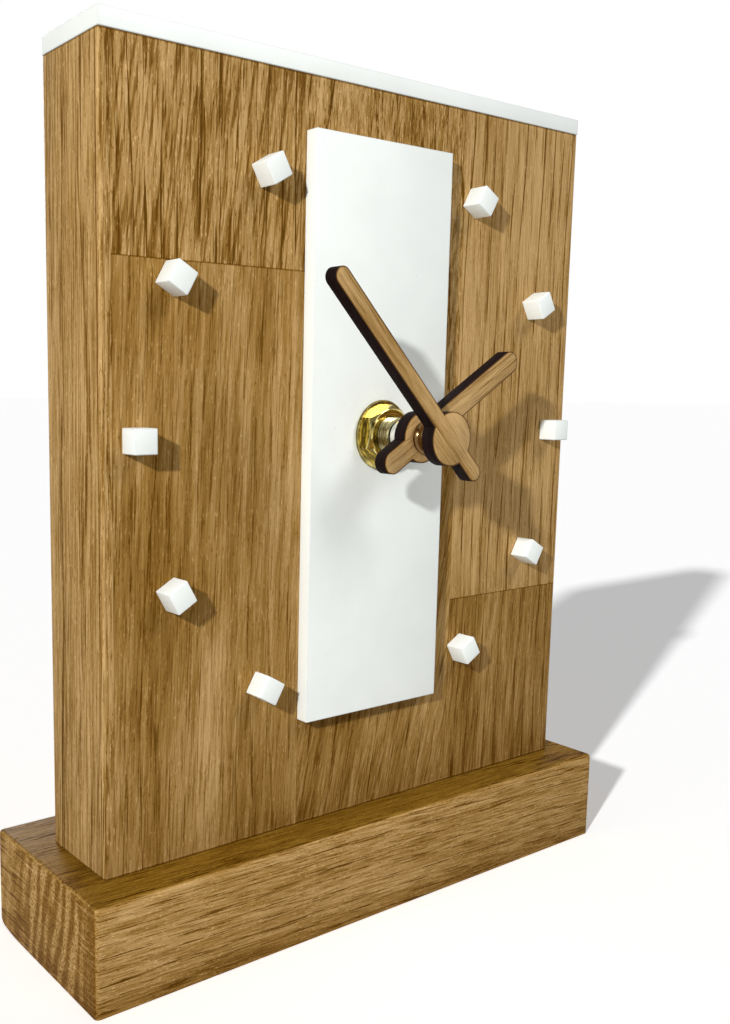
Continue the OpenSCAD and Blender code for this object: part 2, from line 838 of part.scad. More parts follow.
// Plus contact, whose strip runs along the bay's wall to the circuit board
module cell_contact_plus() {
    run_y = tray_low + end_play / 2;
    tab_x = board_x + board_w - strip_w;
    color("silver") in_movement() {
        across(bay_end - contact_t, contact_t) contact_outline(run_y + contact_t);
        translate([tab_x, run_y, strip_z - strip_w / 2])
            cube([bay_end - tab_x, contact_t, strip_w]);
        translate([tab_x, run_y, strip_z - strip_w / 2])
            cube([strip_w, contact_t, board_z - board_t - strip_z + strip_w / 2]);
    }
}

// Minus contact, with a bowed leaf that presses on the cell
module cell_contact_minus() {
    tab_y = board_low + strip_w;
    half = leaf_h / 2;
    bow_r = (half * half + leaf_rise * leaf_rise) / (2 * leaf_rise);
    color("silver") in_movement() {
        across(-bay_end, contact_t) {
            contact_outline(tab_y);
            translate([board_low, strip_z - strip_w / 2])
                square([strip_w, board_z - board_t - strip_z + strip_w / 2]);
        }
        translate([-bay_end + contact_t, cell_y, cell_z]) rotate([90, 0, 0])
            linear_extrude(contact_w / 2, center = true) difference() {
                intersection() {
                    translate([leaf_rise - bow_r, 0]) circle(bow_r);
                    translate([-eps, -leaf_h / 2]) square([leaf_rise + 2 * eps, leaf_h]);
                }
                translate([leaf_rise - bow_r - contact_t, 0]) circle(bow_r);
            }
    }
}

base();
body();
top_strip();
dial_plate();
for (h = HOURS) hour_cube(h);
dowels();
hour_hand();
hour_hand_tube();
minute_hand();
minute_hand_collet();
hand_nut();
nut_washer();
rubber_gasket();
threaded_bush();
movement_case();
movement_cover();
hour_wheel();
minute_arbor();
centre_wheel();
third_wheel();
seconds_wheel();
intermediate_wheel();
rotor_magnet();
rotor_pinion();
setting_wheel();
setting_knob();
stator();
coil_core();
coil_bobbin();
coil_winding();
circuit_board();
chip_cover();
quartz_crystal();
cell();
cell_contact_plus();
cell_contact_minus();
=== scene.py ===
"""Oak table clock: finished pieces, materials and a studio around the packed clock model.

The packed model is the fixed frame. Lengths are metres, X runs to the right as the dial is
read, the dial faces -Y and Z points up. Material patterns are worked out in millimetres.
"""
import math

import bmesh
import bpy
from bpy.props import FloatProperty, FloatVectorProperty, PointerProperty
from bpy.types import Operator, Panel, PropertyGroup
from mathutils import Matrix, Vector


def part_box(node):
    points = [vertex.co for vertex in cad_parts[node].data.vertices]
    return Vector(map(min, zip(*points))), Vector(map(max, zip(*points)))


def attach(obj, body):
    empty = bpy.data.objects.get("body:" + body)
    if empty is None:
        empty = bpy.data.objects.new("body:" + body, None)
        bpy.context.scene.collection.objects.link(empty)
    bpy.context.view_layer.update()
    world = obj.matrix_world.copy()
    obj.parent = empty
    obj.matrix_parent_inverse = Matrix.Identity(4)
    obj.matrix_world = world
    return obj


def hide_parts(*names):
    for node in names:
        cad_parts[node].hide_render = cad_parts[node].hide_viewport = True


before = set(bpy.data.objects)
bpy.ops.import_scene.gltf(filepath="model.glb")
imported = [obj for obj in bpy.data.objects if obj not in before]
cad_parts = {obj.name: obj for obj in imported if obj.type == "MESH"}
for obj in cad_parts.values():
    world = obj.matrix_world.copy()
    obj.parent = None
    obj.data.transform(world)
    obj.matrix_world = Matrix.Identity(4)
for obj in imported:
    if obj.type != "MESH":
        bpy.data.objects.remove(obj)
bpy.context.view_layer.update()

bl_info = {
    "name": "Oak Table Clock",
    "version": (1, 0, 0),
    "blender": (4, 5, 0),
    "location": "View3D > Sidebar > Clock",
    "description": "Builds the finished pieces and materials of an oak table clock",
    "category": "Object",
}


def on_plane(y):
    """Upright plane: X to the right, Y up from the hand axis and Z to the front."""
    return Matrix.Translation((0, y, DIAL_Z)) @ Matrix.Rotation(math.pi / 2, 4, "X")


# Places that the frame gives
MM = 0.001
MICRON = 1e-6
CASE = "clock_case"
HOURS = (1, 2, 3, 4, 5, 7, 8, 9, 10, 11)
FRONT_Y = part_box("body")[0].y
DIAL_Z = sum(corner.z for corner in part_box("nut_washer")) / 2
ON_DIAL = on_plane(FRONT_Y)

# Fineness of round shapes and bevels
ROUND_STEPS = 72
ARC_STEPS = 8
THREAD_STEPS = 48
HEEL_STEPS, PLINTH_STEPS, BLOCK_STEPS, TRIM_STEPS, FINE_STEPS = 6, 5, 4, 3, 2
# Gaps within which points become one
MERGE = 1e-7
MIRROR_MERGE = 1e-6
WELD_GAP = 2e-5
# Turn between two faces from which shading breaks, a moulded edge is rounded, and an edge
# counts as square; a face looks along an axis from the given share of its normal on
SHARP_ANGLE = math.radians(32)
MOULD_ANGLE = math.radians(50)
SQUARE_ANGLE = 1.2
LOOKS_ALONG = 0.9
# Radius of the holes for the bush as a share of the thread's diameter
HOLE_SHARE = 0.525
# Each hand with the radius of its hole and the tone of its veneer
HANDS = (("hour", 0.0033, 0.18), ("minute", 0.0, 0.09))

# The block is glued up from staves. Each has its left, right, low and high limits and the
# heart of its tree to its side and behind it, in millimetres, the place along the tree it was
# cut from, the slant and lean of its grain, the strength of its ring lines, slanting vessels,
# fine grain and broad bands, and its tone
FAR = 1000
SIDE_JOINT, LEFT_JOINT, RIGHT_JOINT = -82, -24.5, 34.6
LEFT_BUTT, HIDDEN_BUTT, RIGHT_BUTT = 179, 140, 85.5
STAVE_COLUMNS = ("left", "right", "low", "high", "side", "behind", "cut", "slant", "lean",
                 "lines", "vessels", "fine", "broad", "tone")
STAVES = [dict(zip(STAVE_COLUMNS, row)) for row in (
    (-FAR, SIDE_JOINT, -FAR, FAR, 150, 40, 905, 0.0, 0.02, 0.6, 0.3, 1.35, 0.6, 0.045),
    (SIDE_JOINT, LEFT_JOINT, -FAR, LEFT_BUTT,
     128, 34, 20, -0.03, 0.02, 0.3, 0.3, 0.8, 1.3, -0.085),
    (SIDE_JOINT, LEFT_JOINT, LEFT_BUTT, FAR,
     130, 26, 730, -0.01, 0.02, 1.0, 1.2, 1.15, 0.3, 0.04),
    (LEFT_JOINT, RIGHT_JOINT, -FAR, HIDDEN_BUTT,
     40, 30, 1150, -0.17, 0.04, 0.4, 0.5, 0.75, 1.2, -0.07),
    (LEFT_JOINT, RIGHT_JOINT, HIDDEN_BUTT, FAR,
     10, 26, 2590, 0.0, 0.1, 0.8, 0.6, 1.2, 0.8, 0.05),
    (RIGHT_JOINT, FAR, -FAR, RIGHT_BUTT, 92, 22, 1610, -0.01, 0.02, 0.4, 0.4, 0.85, 1.1, -0.105),
    (RIGHT_JOINT, FAR, RIGHT_BUTT, FAR, 70, 50, 2080, 0.0, 0.02, 1.0, 0.08, 0.88, 0.8, 0.1),
)]
BUTT_JOINTS = ((SIDE_JOINT, LEFT_JOINT, LEFT_BUTT), (RIGHT_JOINT, FAR, RIGHT_BUTT))
LONG_JOINTS = (SIDE_JOINT, LEFT_JOINT, RIGHT_JOINT)
# Distances in millimetres from an edge of a fine split in the block's left side and of a pale line
# round the plinth's end, a painted highlight where its eased edges begin
SPLIT_IN = 1.3
EDGE_HIGHLIGHT_IN = 1.6
# What is left of each colour under the fullest painted shade, which darkens the plinth's top
PAINTED_SHADE_TINT = (0.51, 0.44, 0.15)
# Colours of finishes that aren't settings
# Creamy grey painted on the strip's ends as painted shade
END_SHADE_TINT = (0.72, 0.72, 0.63)
THREAD_BRASS = (0.36, 0.32, 0.17)
CAN_METAL = (0.6, 0.6, 0.58)
STEEL = (0.58, 0.58, 0.6)
WHITE_PLASTIC = (0.78, 0.76, 0.7)
COPPER = ((0.5, 0.2, 0.08), (0.78, 0.38, 0.17))
BEECH = ((0.55, 0.38, 0.22), (0.72, 0.55, 0.36))
BEECH_FLECK = (0.42, 0.26, 0.13)
# Nodes of one plain colour: name, colour and roughness of the material, and its grain per
# millimetre
PLAIN_PARTS = (
    ("rubber_gasket", "black rubber", (0.03, 0.03, 0.03), 0.75, 3.0),
    ("rotor_magnet", "sintered magnet", (0.1, 0.1, 0.11), 0.6, 6.0),
    ("circuit_board", "green board", (0.03, 0.16, 0.06), 0.4, 4.0),
)


def a_colour(name, owner, default):
    return FloatVectorProperty(name=name, description=f"Colour of {owner}", default=default,
                               subtype="COLOR", size=3, min=0, max=1)


def a_length(name, description, default):
    """Length that may be set from a third of its default to three times as much."""
    return FloatProperty(name=name, description=description, default=default, unit="LENGTH",
                         min=default / 3, max=default * 3, precision=5)


def an_angle(name, description, degrees):
    return FloatProperty(name=name, description=description, default=math.radians(degrees),
                         unit="ROTATION", min=-math.tau, max=math.tau)


def a_level(name, description, default, most, **kind):
    return FloatProperty(name=name, description=description, default=default, min=0, max=most,
                         **kind)


class OakLooks(PropertyGroup):
    """Oiled oak of the plinth, the block and the hands."""

    dark: a_colour("Dark grain", "the pores and ring lines", (0.14, 0.058, 0.004))
    middle: a_colour("Middle grain", "most of the wood", (0.312, 0.172, 0.042))
    light: a_colour("Light grain", "the palest wood", (0.52, 0.33, 0.135))
    ring_width: a_length("Ring width", "Spacing of the growth rings", 0.0046)
    plinth_ease: a_length("Plinth edges", "Radius of the plinth's eased edges", 0.0013)
    plinth_heel: a_length("Plinth heel", "Radius of the plinth's rounded lower back edge", 0.003)
    plinth_foot: a_length("Plinth foot", "Bevel round the plinth's underside", 0.0005)
    block_ease: a_length("Block edges", "Radius of the block's upright edges", 0.001)
    block_rim: a_length("Block rims", "Bevel round the block's top and foot", 0.0004)
    pocket_gap: a_length("Pocket gap", "Room round the movement in its pocket", 0.003)
    pocket_corner: a_length("Pocket corners", "Radius the router leaves in the pocket's corners",
                            0.006)


class TrimLooks(PropertyGroup):
    """White strip, dial plate and hour marks."""

    white: a_colour("White", "the satin white trim", (0.885, 0.925, 0.892))
    ease: a_length("Trim edges", "Bevel along the edges of the white trim", 0.0003)


class HandLooks(PropertyGroup):
    """Wooden hands and the metal they sit on."""

    hour_length: a_length("Hour length", "Hand axis to the hour hand's tip", 0.042)
    hour_tail: a_length("Hour tail", "Hand axis to the end of the hour hand's tail", 0.0153)
    hour_width: a_length("Hour width", "Width of the hour hand's arm", 0.0062)
    hour_boss: a_length("Hour boss", "Radius of the hour hand's round boss", 0.0068)
    hour_angle: an_angle("Hour angle", "Clockwise from twelve at rest", 59)
    minute_length: a_length("Minute length", "Hand axis to the minute hand's tip", 0.0563)
    minute_tail: a_length("Minute tail", "Hand axis to the end of the minute hand's tail", 0.015)
    minute_width: a_length("Minute width", "Width of the minute hand's arm", 0.0046)
    minute_boss: a_length("Minute boss", "Radius of the minute hand's round boss", 0.007)
    minute_angle: an_angle("Minute angle", "Clockwise from twelve at rest", 315.2)
    burnt: a_colour("Burnt edge", "the laser-cut edge", (0.009, 0.005, 0.005))
    burnt_rim: a_length("Burnt rim", "Width of the burnt line round each hand's face", 0.0002)


class HubLooks(PropertyGroup):
    """Brass washer, nut and threaded bush, and the bare metal of the hands."""

    brass: a_colour("Brass", "the polished brass", (0.6, 0.49, 0.17))
    # Red brass darkened well below its own colour: painted shade on the collet, which stands in
    # the minute hand's shadow
    shaded_red_brass: a_colour("Red brass", "the minute hand's collet", (0.19, 0.115, 0.045))
    aluminium: a_colour("Aluminium", "the hour hand's tube", (0.8, 0.8, 0.79))
    thread_size: a_length("Thread", "Diameter over the bush's thread", 0.01)
    thread_pitch: a_length("Pitch", "Rise of the thread in one turn", 0.00075)
    nut_turn: an_angle("Nut turn", "How far the nut's corners stand off upright", -6)
    bore: a_length("Bush bore", "Diameter of the bush's bore", 0.0052)


class MovementLooks(PropertyGroup):
    """Quartz movement in the pocket behind the dial."""

    plastic: a_colour("Black plastic", "the movement's case", (0.022, 0.022, 0.024))
    jacket: a_colour("Cell jacket", "the cell's plain jacket", (0.05, 0.11, 0.19))
    band: a_colour("Cell band", "the band at the cell's plus end", (0.62, 0.6, 0.56))
    edge: a_length("Moulded edges", "Radius on the edges of the moulded case", 0.00025)


class StageLooks(PropertyGroup):
    """Studio floor, light and camera."""

    key: a_level("Key light", "Power of the lamp at the left", 40.0, 200, unit="POWER")
    fill: a_level("Fill light", "Strength of the soft light from the upper right", 1.25, 10)
    back: a_level("Back light", "Strength of the soft light from behind", 1.7, 10)
    shadow: a_level("Shadow light", "Strength of the light that draws the floor's shadow", 2.5, 10)
    sky: a_level("Sky", "Strength of the light from all round", 0.13, 2)
    floor: a_colour("Floor", "the floor as it lights the clock", (0.95, 0.95, 0.94))
    floor_shown: a_level("Floor as seen", "Whiteness of the floor to the camera", 2.3, 4)
    floor_glow: a_level("Floor glow", "Share of plain white in the floor as it is seen",
                        0.3, 1, subtype="FACTOR")


def wire_first(operation):
    """Operator whose first term is the wire."""
    return lambda wire, other: wire.math(operation, wire, other)


def wire_second(operation):
    """Operator whose second term is the wire."""
    return lambda wire, other: wire.math(operation, other, wire)


class Wire:
    """An output socket. Sums and products of wires and numbers add Math nodes."""

    def __init__(self, paint, socket):
        self.paint = paint
        self.socket = socket

    def math(self, operation, *terms):
        return self.paint.node("Math", dict(enumerate(terms)), operation=operation)

    def output(self, name):
        """Another output of the same node."""
        return Wire(self.paint, self.socket.node.outputs[name])

    def __abs__(self):
        return self.math("ABSOLUTE", self)

    __add__, __radd__ = wire_first("ADD"), wire_second("ADD")
    __sub__, __rsub__ = wire_first("SUBTRACT"), wire_second("SUBTRACT")
    __mul__, __rmul__ = wire_first("MULTIPLY"), wire_second("MULTIPLY")
    __truediv__, __rtruediv__ = wire_first("DIVIDE"), wire_second("DIVIDE")
    __pow__ = wire_first("POWER")
    __mod__ = wire_first("FLOORED_MODULO")
    __gt__ = wire_first("GREATER_THAN")
    __lt__ = wire_first("LESS_THAN")
    least = wire_first("MINIMUM")
    most = wire_first("MAXIMUM")


class Paint:
    """Nodes of one material, of a lamp or of the world."""

    def __init__(self, owner):
        owner.use_nodes = True
        self.owner = owner
        self.tree = owner.node_tree
        self.tree.nodes.clear()

    def node(self, kind, values=None, output=0, **settings):
        """Add a node: first its settings, then the values or links of its sockets."""
        made = self.tree.nodes.new("ShaderNode" + kind)
        for name, setting in settings.items():
            if name == "stops":
                elements = made.color_ramp.elements
                for _ in range(len(setting) - len(elements)):
                    elements.new(1)
                for element, (place, colour) in zip(elements, setting):
                    element.position = place
                    element.color = (*colour, 1)
            else:
                setattr(made, name, setting)
        for key, value in (values or {}).items():
            if isinstance(value, Wire):
                self.tree.links.new(value.socket, made.inputs[key])
            else:
                made.inputs[key].default_value = value
        return Wire(self, made.outputs[output]) if made.outputs else None

    def place(self):
        """Place on the piece in millimetres, as a vector and as x, y and z."""
        metres = self.node("TexCoord", output="Object")
        place = self.node("VectorMath", {0: metres, "Scale": 1 / MM}, operation="SCALE")
        x = self.node("SeparateXYZ", {0: place})
        return place, x, x.output("Y"), x.output("Z")

    def normal(self):
        """Direction in which the surface looks."""
        return self.node("NewGeometry", output="Normal")

    def vector(self, x, y, z):
        return self.node("CombineXYZ", {0: x, 1: y, 2: z})

    def noise(self, place, per_mm, detail=2.0, roughness=0.5):
        """Noise with cycles per millimetre along x, y and z, or one number for all three."""
        grain = per_mm if isinstance(per_mm, tuple) else (per_mm,) * 3
        stretched = self.node("VectorMath", {0: place, 1: grain}, operation="MULTIPLY")
        return self.node("TexNoise", {
            "Vector": stretched, "Scale": 1.0, "Detail": detail, "Roughness": roughness})

    def rise(self, value, start, end):
        """Smooth step from 0 at start to 1 at end."""
        return self.node("MapRange", {"Value": value, "From Min": start, "From Max": end},
                         interpolation_type="SMOOTHSTEP")

    def fall(self, value, start, end):
        """Smooth step from 1 at start to 0 at end."""
        return 1 - self.rise(value, start, end)

    def mix(self, share, first, second, blend="MIX"):
        """Colour that goes from first to second."""
        ends = [c if isinstance(c, Wire) else (*c, 1) for c in (first, second)]
        return self.node("Mix", {0: share, 6: ends[0], 7: ends[1]}, output=2,
                         data_type="RGBA", blend_type=blend)

    def patchy(self, value, colour, dull, bright, start=0.3, end=0.7):
        """Colour that goes from a dull to a bright shade as a value goes from start to end."""
        return self.mix(self.rise(value, start, end), shade(colour, dull),
                        shade(colour, bright))

    def surface(self, colour, roughness, height, microns, **others):
        """Principled surface on which a height of 1 stands out by some microns.

        In the names of the other sockets underscores join the words.
        """
        bump = self.node("Bump", {"Distance": microns * MICRON, "Height": height})
        sockets = {"Base Color": colour, "Roughness": roughness, "Normal": bump}
        for name, value in others.items():
            sockets[name.replace("_", " ")] = value
        shader = self.node("BsdfPrincipled", sockets)
        self.node("OutputMaterial", {"Surface": shader})
        return self.owner


def new_paint(name):
    return Paint(bpy.data.materials.new(name))


def shade(colour, factor):
    """The colour made lighter or darker."""
    return tuple(min(1.0, part * factor) for part in colour)


def reach(first, second):
    """Distance of a point from the centre of a plane."""
    return (first * first + second * second) ** 0.5


def edge_gap(places, low, high):
    """Distance in millimetres from the nearest edge of a box, on the box's surface."""
    gaps = []
    for value, start, end in zip(places, low, high):
        middle, half = (start + end) / 2 / MM, (end - start) / 2 / MM
        gaps.append(half - abs(value - middle))
    first, second, third = gaps
    return first.least(second).most(first.most(second).least(third))


def oak_figure(paint, across, depth, along, lines, vessels, fine, broad):
    """Lightness and pores of oak; across and depth are measured from the tree's heart."""
    spacing = bpy.context.scene.clock_oak.ring_width / MM
    place = paint.vector(across, depth, along)
    leaning = paint.vector(across - 0.13 * along, depth, along)
    drift = paint.noise(place, (0.02, 0.02, 0.004))
    cloud = paint.noise(place, (0.045, 0.045, 0.014), detail=3.0)
    band = paint.noise(place, (0.3, 0.3, 0.008))
    broken = paint.noise(place, (0.3, 0.3, 0.03), detail=1.0)
    grain = paint.noise(place, (1.45, 1.45, 0.042), detail=3.0, roughness=0.6)
    hair = paint.noise(place, (2.1, 2.1, 0.04), detail=3.0, roughness=0.6)
    speck = paint.noise(place, (2.4, 2.4, 0.55), detail=1.0)
    vessel = paint.noise(leaning, (0.9, 0.9, 0.05), detail=3.0)
    turn = ((reach(across, depth) + 24 * drift + 2 * band) / spacing) % 1
    gap = abs(turn - 0.5) * spacing
    early = paint.fall(gap, 0.3, 1.5)
    line = paint.fall(gap, 0.05, 0.32) * paint.rise(broken, 0.44, 0.54) * lines
    pore = paint.rise(hair, 0.53, 0.62) * (0.45 + 0.55 * early)
    streak = paint.rise(vessel, 0.5, 0.6) * vessels
    fleck = paint.rise(speck, 0.64, 0.72)
    dash = paint.fall(speck, 0.28, 0.36)
    light = (0.63 + broad * (0.65 * (cloud - 0.5) + 0.5 * (band - 0.5))
             + fine * (0.75 * (grain - 0.5) - 0.38 * pore + 0.24 * fleck - 0.2 * dash)
             - 0.26 * streak - 0.6 * line)
    return light, pore


def oak_surface(paint, light, pore, polish=0.48, gloss=0.02, painted_shade=None):
    """Oiled oak with open pores, multiplied towards a darker tint where painted shade is asked
    for.
    """
    looks = bpy.context.scene.clock_oak
    stops = ((0.0, shade(looks.dark, 0.75)), (0.2, looks.dark), (0.52, looks.middle),
             (0.82, looks.light), (1.0, shade(looks.light, 1.2)))
    colour = paint.node("ValToRGB", {0: light}, stops=stops)
    if painted_shade is not None:
        # Painted shade: the colour is multiplied towards a darker tint under the mask
        colour = paint.mix(painted_shade, colour, PAINTED_SHADE_TINT, "MULTIPLY")
    return paint.surface(colour, polish + 0.18 * pore, 0.5 * light - pore, 50,
                         Specular_IOR_Level=gloss)


def white_trim(name, low, high, end_shade=0.0):
    """Satin white sheet with real specks, painted shade as a grey line along its sawn edges, and
    painted shade as a creamy grey on the strip's ends.
    """
    paint = new_paint(name)
    white = bpy.context.scene.clock_trim.white
    place, *places = paint.place()
    cloud = paint.noise(place, 0.05, detail=3.0)
    speck = paint.rise(paint.noise(place, 0.7, detail=1.0), 0.77, 0.82)
    grain = paint.noise(place, 6.0, detail=3.0)
    # Painted shade: the trim goes grey along its edges, which outlines it
    wear_and_painted_edge_light = paint.fall(edge_gap(places, low, high), 0.12, 0.4)
    tint = paint.patchy(cloud, white, 0.975, 1.02)
    # Painted shade: the strip's ends go towards a creamy grey
    if end_shade:
        tip = high.x / MM
        end = paint.rise(abs(places[0]), tip - 1.0, tip - 0.2)
        tint = paint.mix(end_shade * end, tint, END_SHADE_TINT)
    # Real specks, and painted shade along the edges
    specks_and_edge_shade = paint.mix(0.2 * speck + 0.8 * wear_and_painted_edge_light * grain, tint, shade(white, 0.62))
    return paint.surface(specks_and_edge_shade, 0.42 + 0.2 * grain, grain, 10, Specular_IOR_Level=0.4)


def turned_metal(name, colour, roughness, rings=9.0, dull=0.8, bright=1.12, facet_reflection=0.0):
    """Metal turned on a lathe round the hand axis, with tool rings, and with bands of painted
    reflection that make its colour duller or brighter.

    With facet_reflection, flats that look in different ways get a different brightness, also a
    painted reflection.
    """
    paint = new_paint(name)
    place, x, y, z = paint.place()
    turned = paint.vector(reach(x, z - DIAL_Z / MM), y, 0.0)
    cut = paint.noise(turned, (rings, rings, 1.0), detail=3.0)
    band = paint.noise(turned, (1.1, 1.1, 1.0))
    smear_and_reflection = paint.noise(place, 0.5, detail=3.0)
    # Painted reflection: bands, smears and facets make the colour duller or brighter, in place of
    # dark and light surroundings
    level = band + 0.3 * (smear_and_reflection - 0.5)
    if facet_reflection:
        level = level + facet_reflection * (paint.noise(paint.normal(), 1.9, detail=0.0) - 0.5)
    return paint.surface(paint.patchy(level, colour, dull, bright, 0.38, 0.6),
                         roughness * (0.7 + 0.6 * smear_and_reflection), cut, 6, Metallic=1.0)


def moulded_plastic(name, colour, roughness=0.5, per_mm=2.6):
    """Moulded plastic with a fine spark-eroded skin."""
    paint = new_paint(name)
    place = paint.place()[0]
    skin = paint.noise(place, per_mm, detail=4.0, roughness=0.6)
    flow = paint.noise(place, 0.06)
    return paint.surface(paint.patchy(flow, colour, 0.8, 1.25),
                         roughness - 0.08 + 0.16 * skin, skin, 60)


def sheet_metal(name, colour, roughness):
    """Rolled sheet metal with fine lines."""
    paint = new_paint(name)
    place = paint.place()[0]
    lines = paint.noise(place, (0.2, 6.0, 6.0), detail=3.0)
    patch = paint.noise(place, 0.3)
    return paint.surface(paint.patchy(patch, colour, 0.82, 1.1),
                         roughness * (0.7 + 0.6 * lines), lines, 8, Metallic=1.0)


def new_box(low, high):
    """Cube stretched between two corners."""
    bm = bmesh.new()
    bmesh.ops.create_cube(bm, size=1.0)
    bmesh.ops.scale(bm, vec=high - low, verts=bm.verts)
    bmesh.ops.translate(bm, vec=(low + high) / 2, verts=bm.verts)
    return bm


def new_trim(low, high):
    """Box with the white trim's eased edges."""
    bm = new_box(low, high)
    ease_edges(bm, bm.edges, bpy.context.scene.clock_trim.ease, TRIM_STEPS)
    return bm


def ease_edges(bm, edges, radius, segments):
    bmesh.ops.bevel(bm, geom=list(edges), offset=radius, segments=segments, profile=0.5,
                    affect="EDGES", material=-1, clamp_overlap=True)


def only(kind, parts):
    """The verts or the edges among an operator's results."""
    return [part for part in parts if isinstance(part, kind)]


def square_edges(bm, top=math.inf):
    """Edges between faces that meet at about a right angle, at or below a height."""
    bm.normal_update()
    return [edge for edge in bm.edges if edge.calc_face_angle() > SQUARE_ANGLE
            and all(vert.co.z < top + MERGE for vert in edge.verts)]


def open_side(bm, direction):
    """Take away the largest face that looks in a direction and give the edges round it."""
    bm.normal_update()
    way = Vector(direction)
    return open_face(bm, max(bm.faces, key=lambda f: f.normal.dot(way) * f.calc_area()))


def open_face(bm, face):
    """Take a face away and give the edges round the gap."""
    edges = list(face.edges)
    bmesh.ops.delete(bm, geom=[face], context="FACES_ONLY")
    return edges


def circle_edges(bm, radius, matrix, segments=ROUND_STEPS):
    made = bmesh.ops.create_circle(bm, cap_ends=False, radius=radius, segments=segments,
                                   matrix=matrix)
    return list({edge for vert in made["verts"] for edge in vert.link_edges})


def bush_hole(bm, y):
    """Outline of the hole for the bush on an upright plane."""
    return circle_edges(bm, bpy.context.scene.clock_hub.thread_size * HOLE_SHARE, on_plane(y))


def fill_between(bm, *loops):
    """Flat face between an outline and the holes in it."""
    edges = [edge for loop in loops for edge in loop]
    bmesh.ops.triangle_fill(bm, use_beauty=True, use_dissolve=False, edges=edges)


def draw_along(bm, edges, way):
    """Extrude edges along Y and give the new edges."""
    made = bmesh.ops.extrude_edge_only(bm, edges=edges)["geom"]
    bmesh.ops.translate(bm, vec=(0, way, 0), verts=only(bmesh.types.BMVert, made))
    return only(bmesh.types.BMEdge, made)


def closed_line(bm, points):
    """Closed line through points of radius and depth, with its verts first."""
    verts = [bm.verts.new((radius, 0, depth)) for radius, depth in points]
    return verts, [bm.edges.new((verts[i - 1], verts[i])) for i in range(len(verts))]


def new_turned(profile):
    """Closed profile of radius and depth, spun round the axis."""
    bm = bmesh.new()
    verts, edges = closed_line(bm, profile)
    bmesh.ops.spin(bm, geom=verts + edges, cent=(0, 0, 0), axis=(0, 0, 1), angle=math.tau,
                   steps=ROUND_STEPS, use_merge=True)
    return bm


def depths(node):
    """How far a node's back and front stand in front of the oak."""
    low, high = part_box(node)
    return FRONT_Y - high.y, FRONT_Y - low.y


def half_width(node):
    low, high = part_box(node)
    return (high.x - low.x) / 2


def new_object(name, data):
    made = bpy.data.objects.new(name, data)
    bpy.context.scene.collection.objects.link(made)
    return made


def new_mesh(name, bm):
    mesh = bpy.data.meshes.new(name)
    bm.to_mesh(mesh)
    bm.free()
    return mesh


def add_piece(bm, name, body, slot, node, *materials, place=None, sharp=SHARP_ANGLE):
    """Close a mesh, put it in its place and let it stand for its node."""
    if place is not None:
        bmesh.ops.transform(bm, matrix=place, verts=bm.verts)
    bmesh.ops.remove_doubles(bm, verts=bm.verts, dist=MERGE)
    bmesh.ops.recalc_face_normals(bm, faces=bm.faces)
    for face in bm.faces:
        face.smooth = True
    mesh = new_mesh(name, bm)
    mesh.set_sharp_from_angle(angle=sharp)
    for material in materials:
        mesh.materials.append(material)
    piece = new_object(name, mesh)
    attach(piece, body)
    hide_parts(node)


def dress(material, *nodes):
    """Give nodes of the frame their material."""
    for node in nodes:
        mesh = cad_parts[node].data
        mesh.materials.clear()
        mesh.materials.append(material)


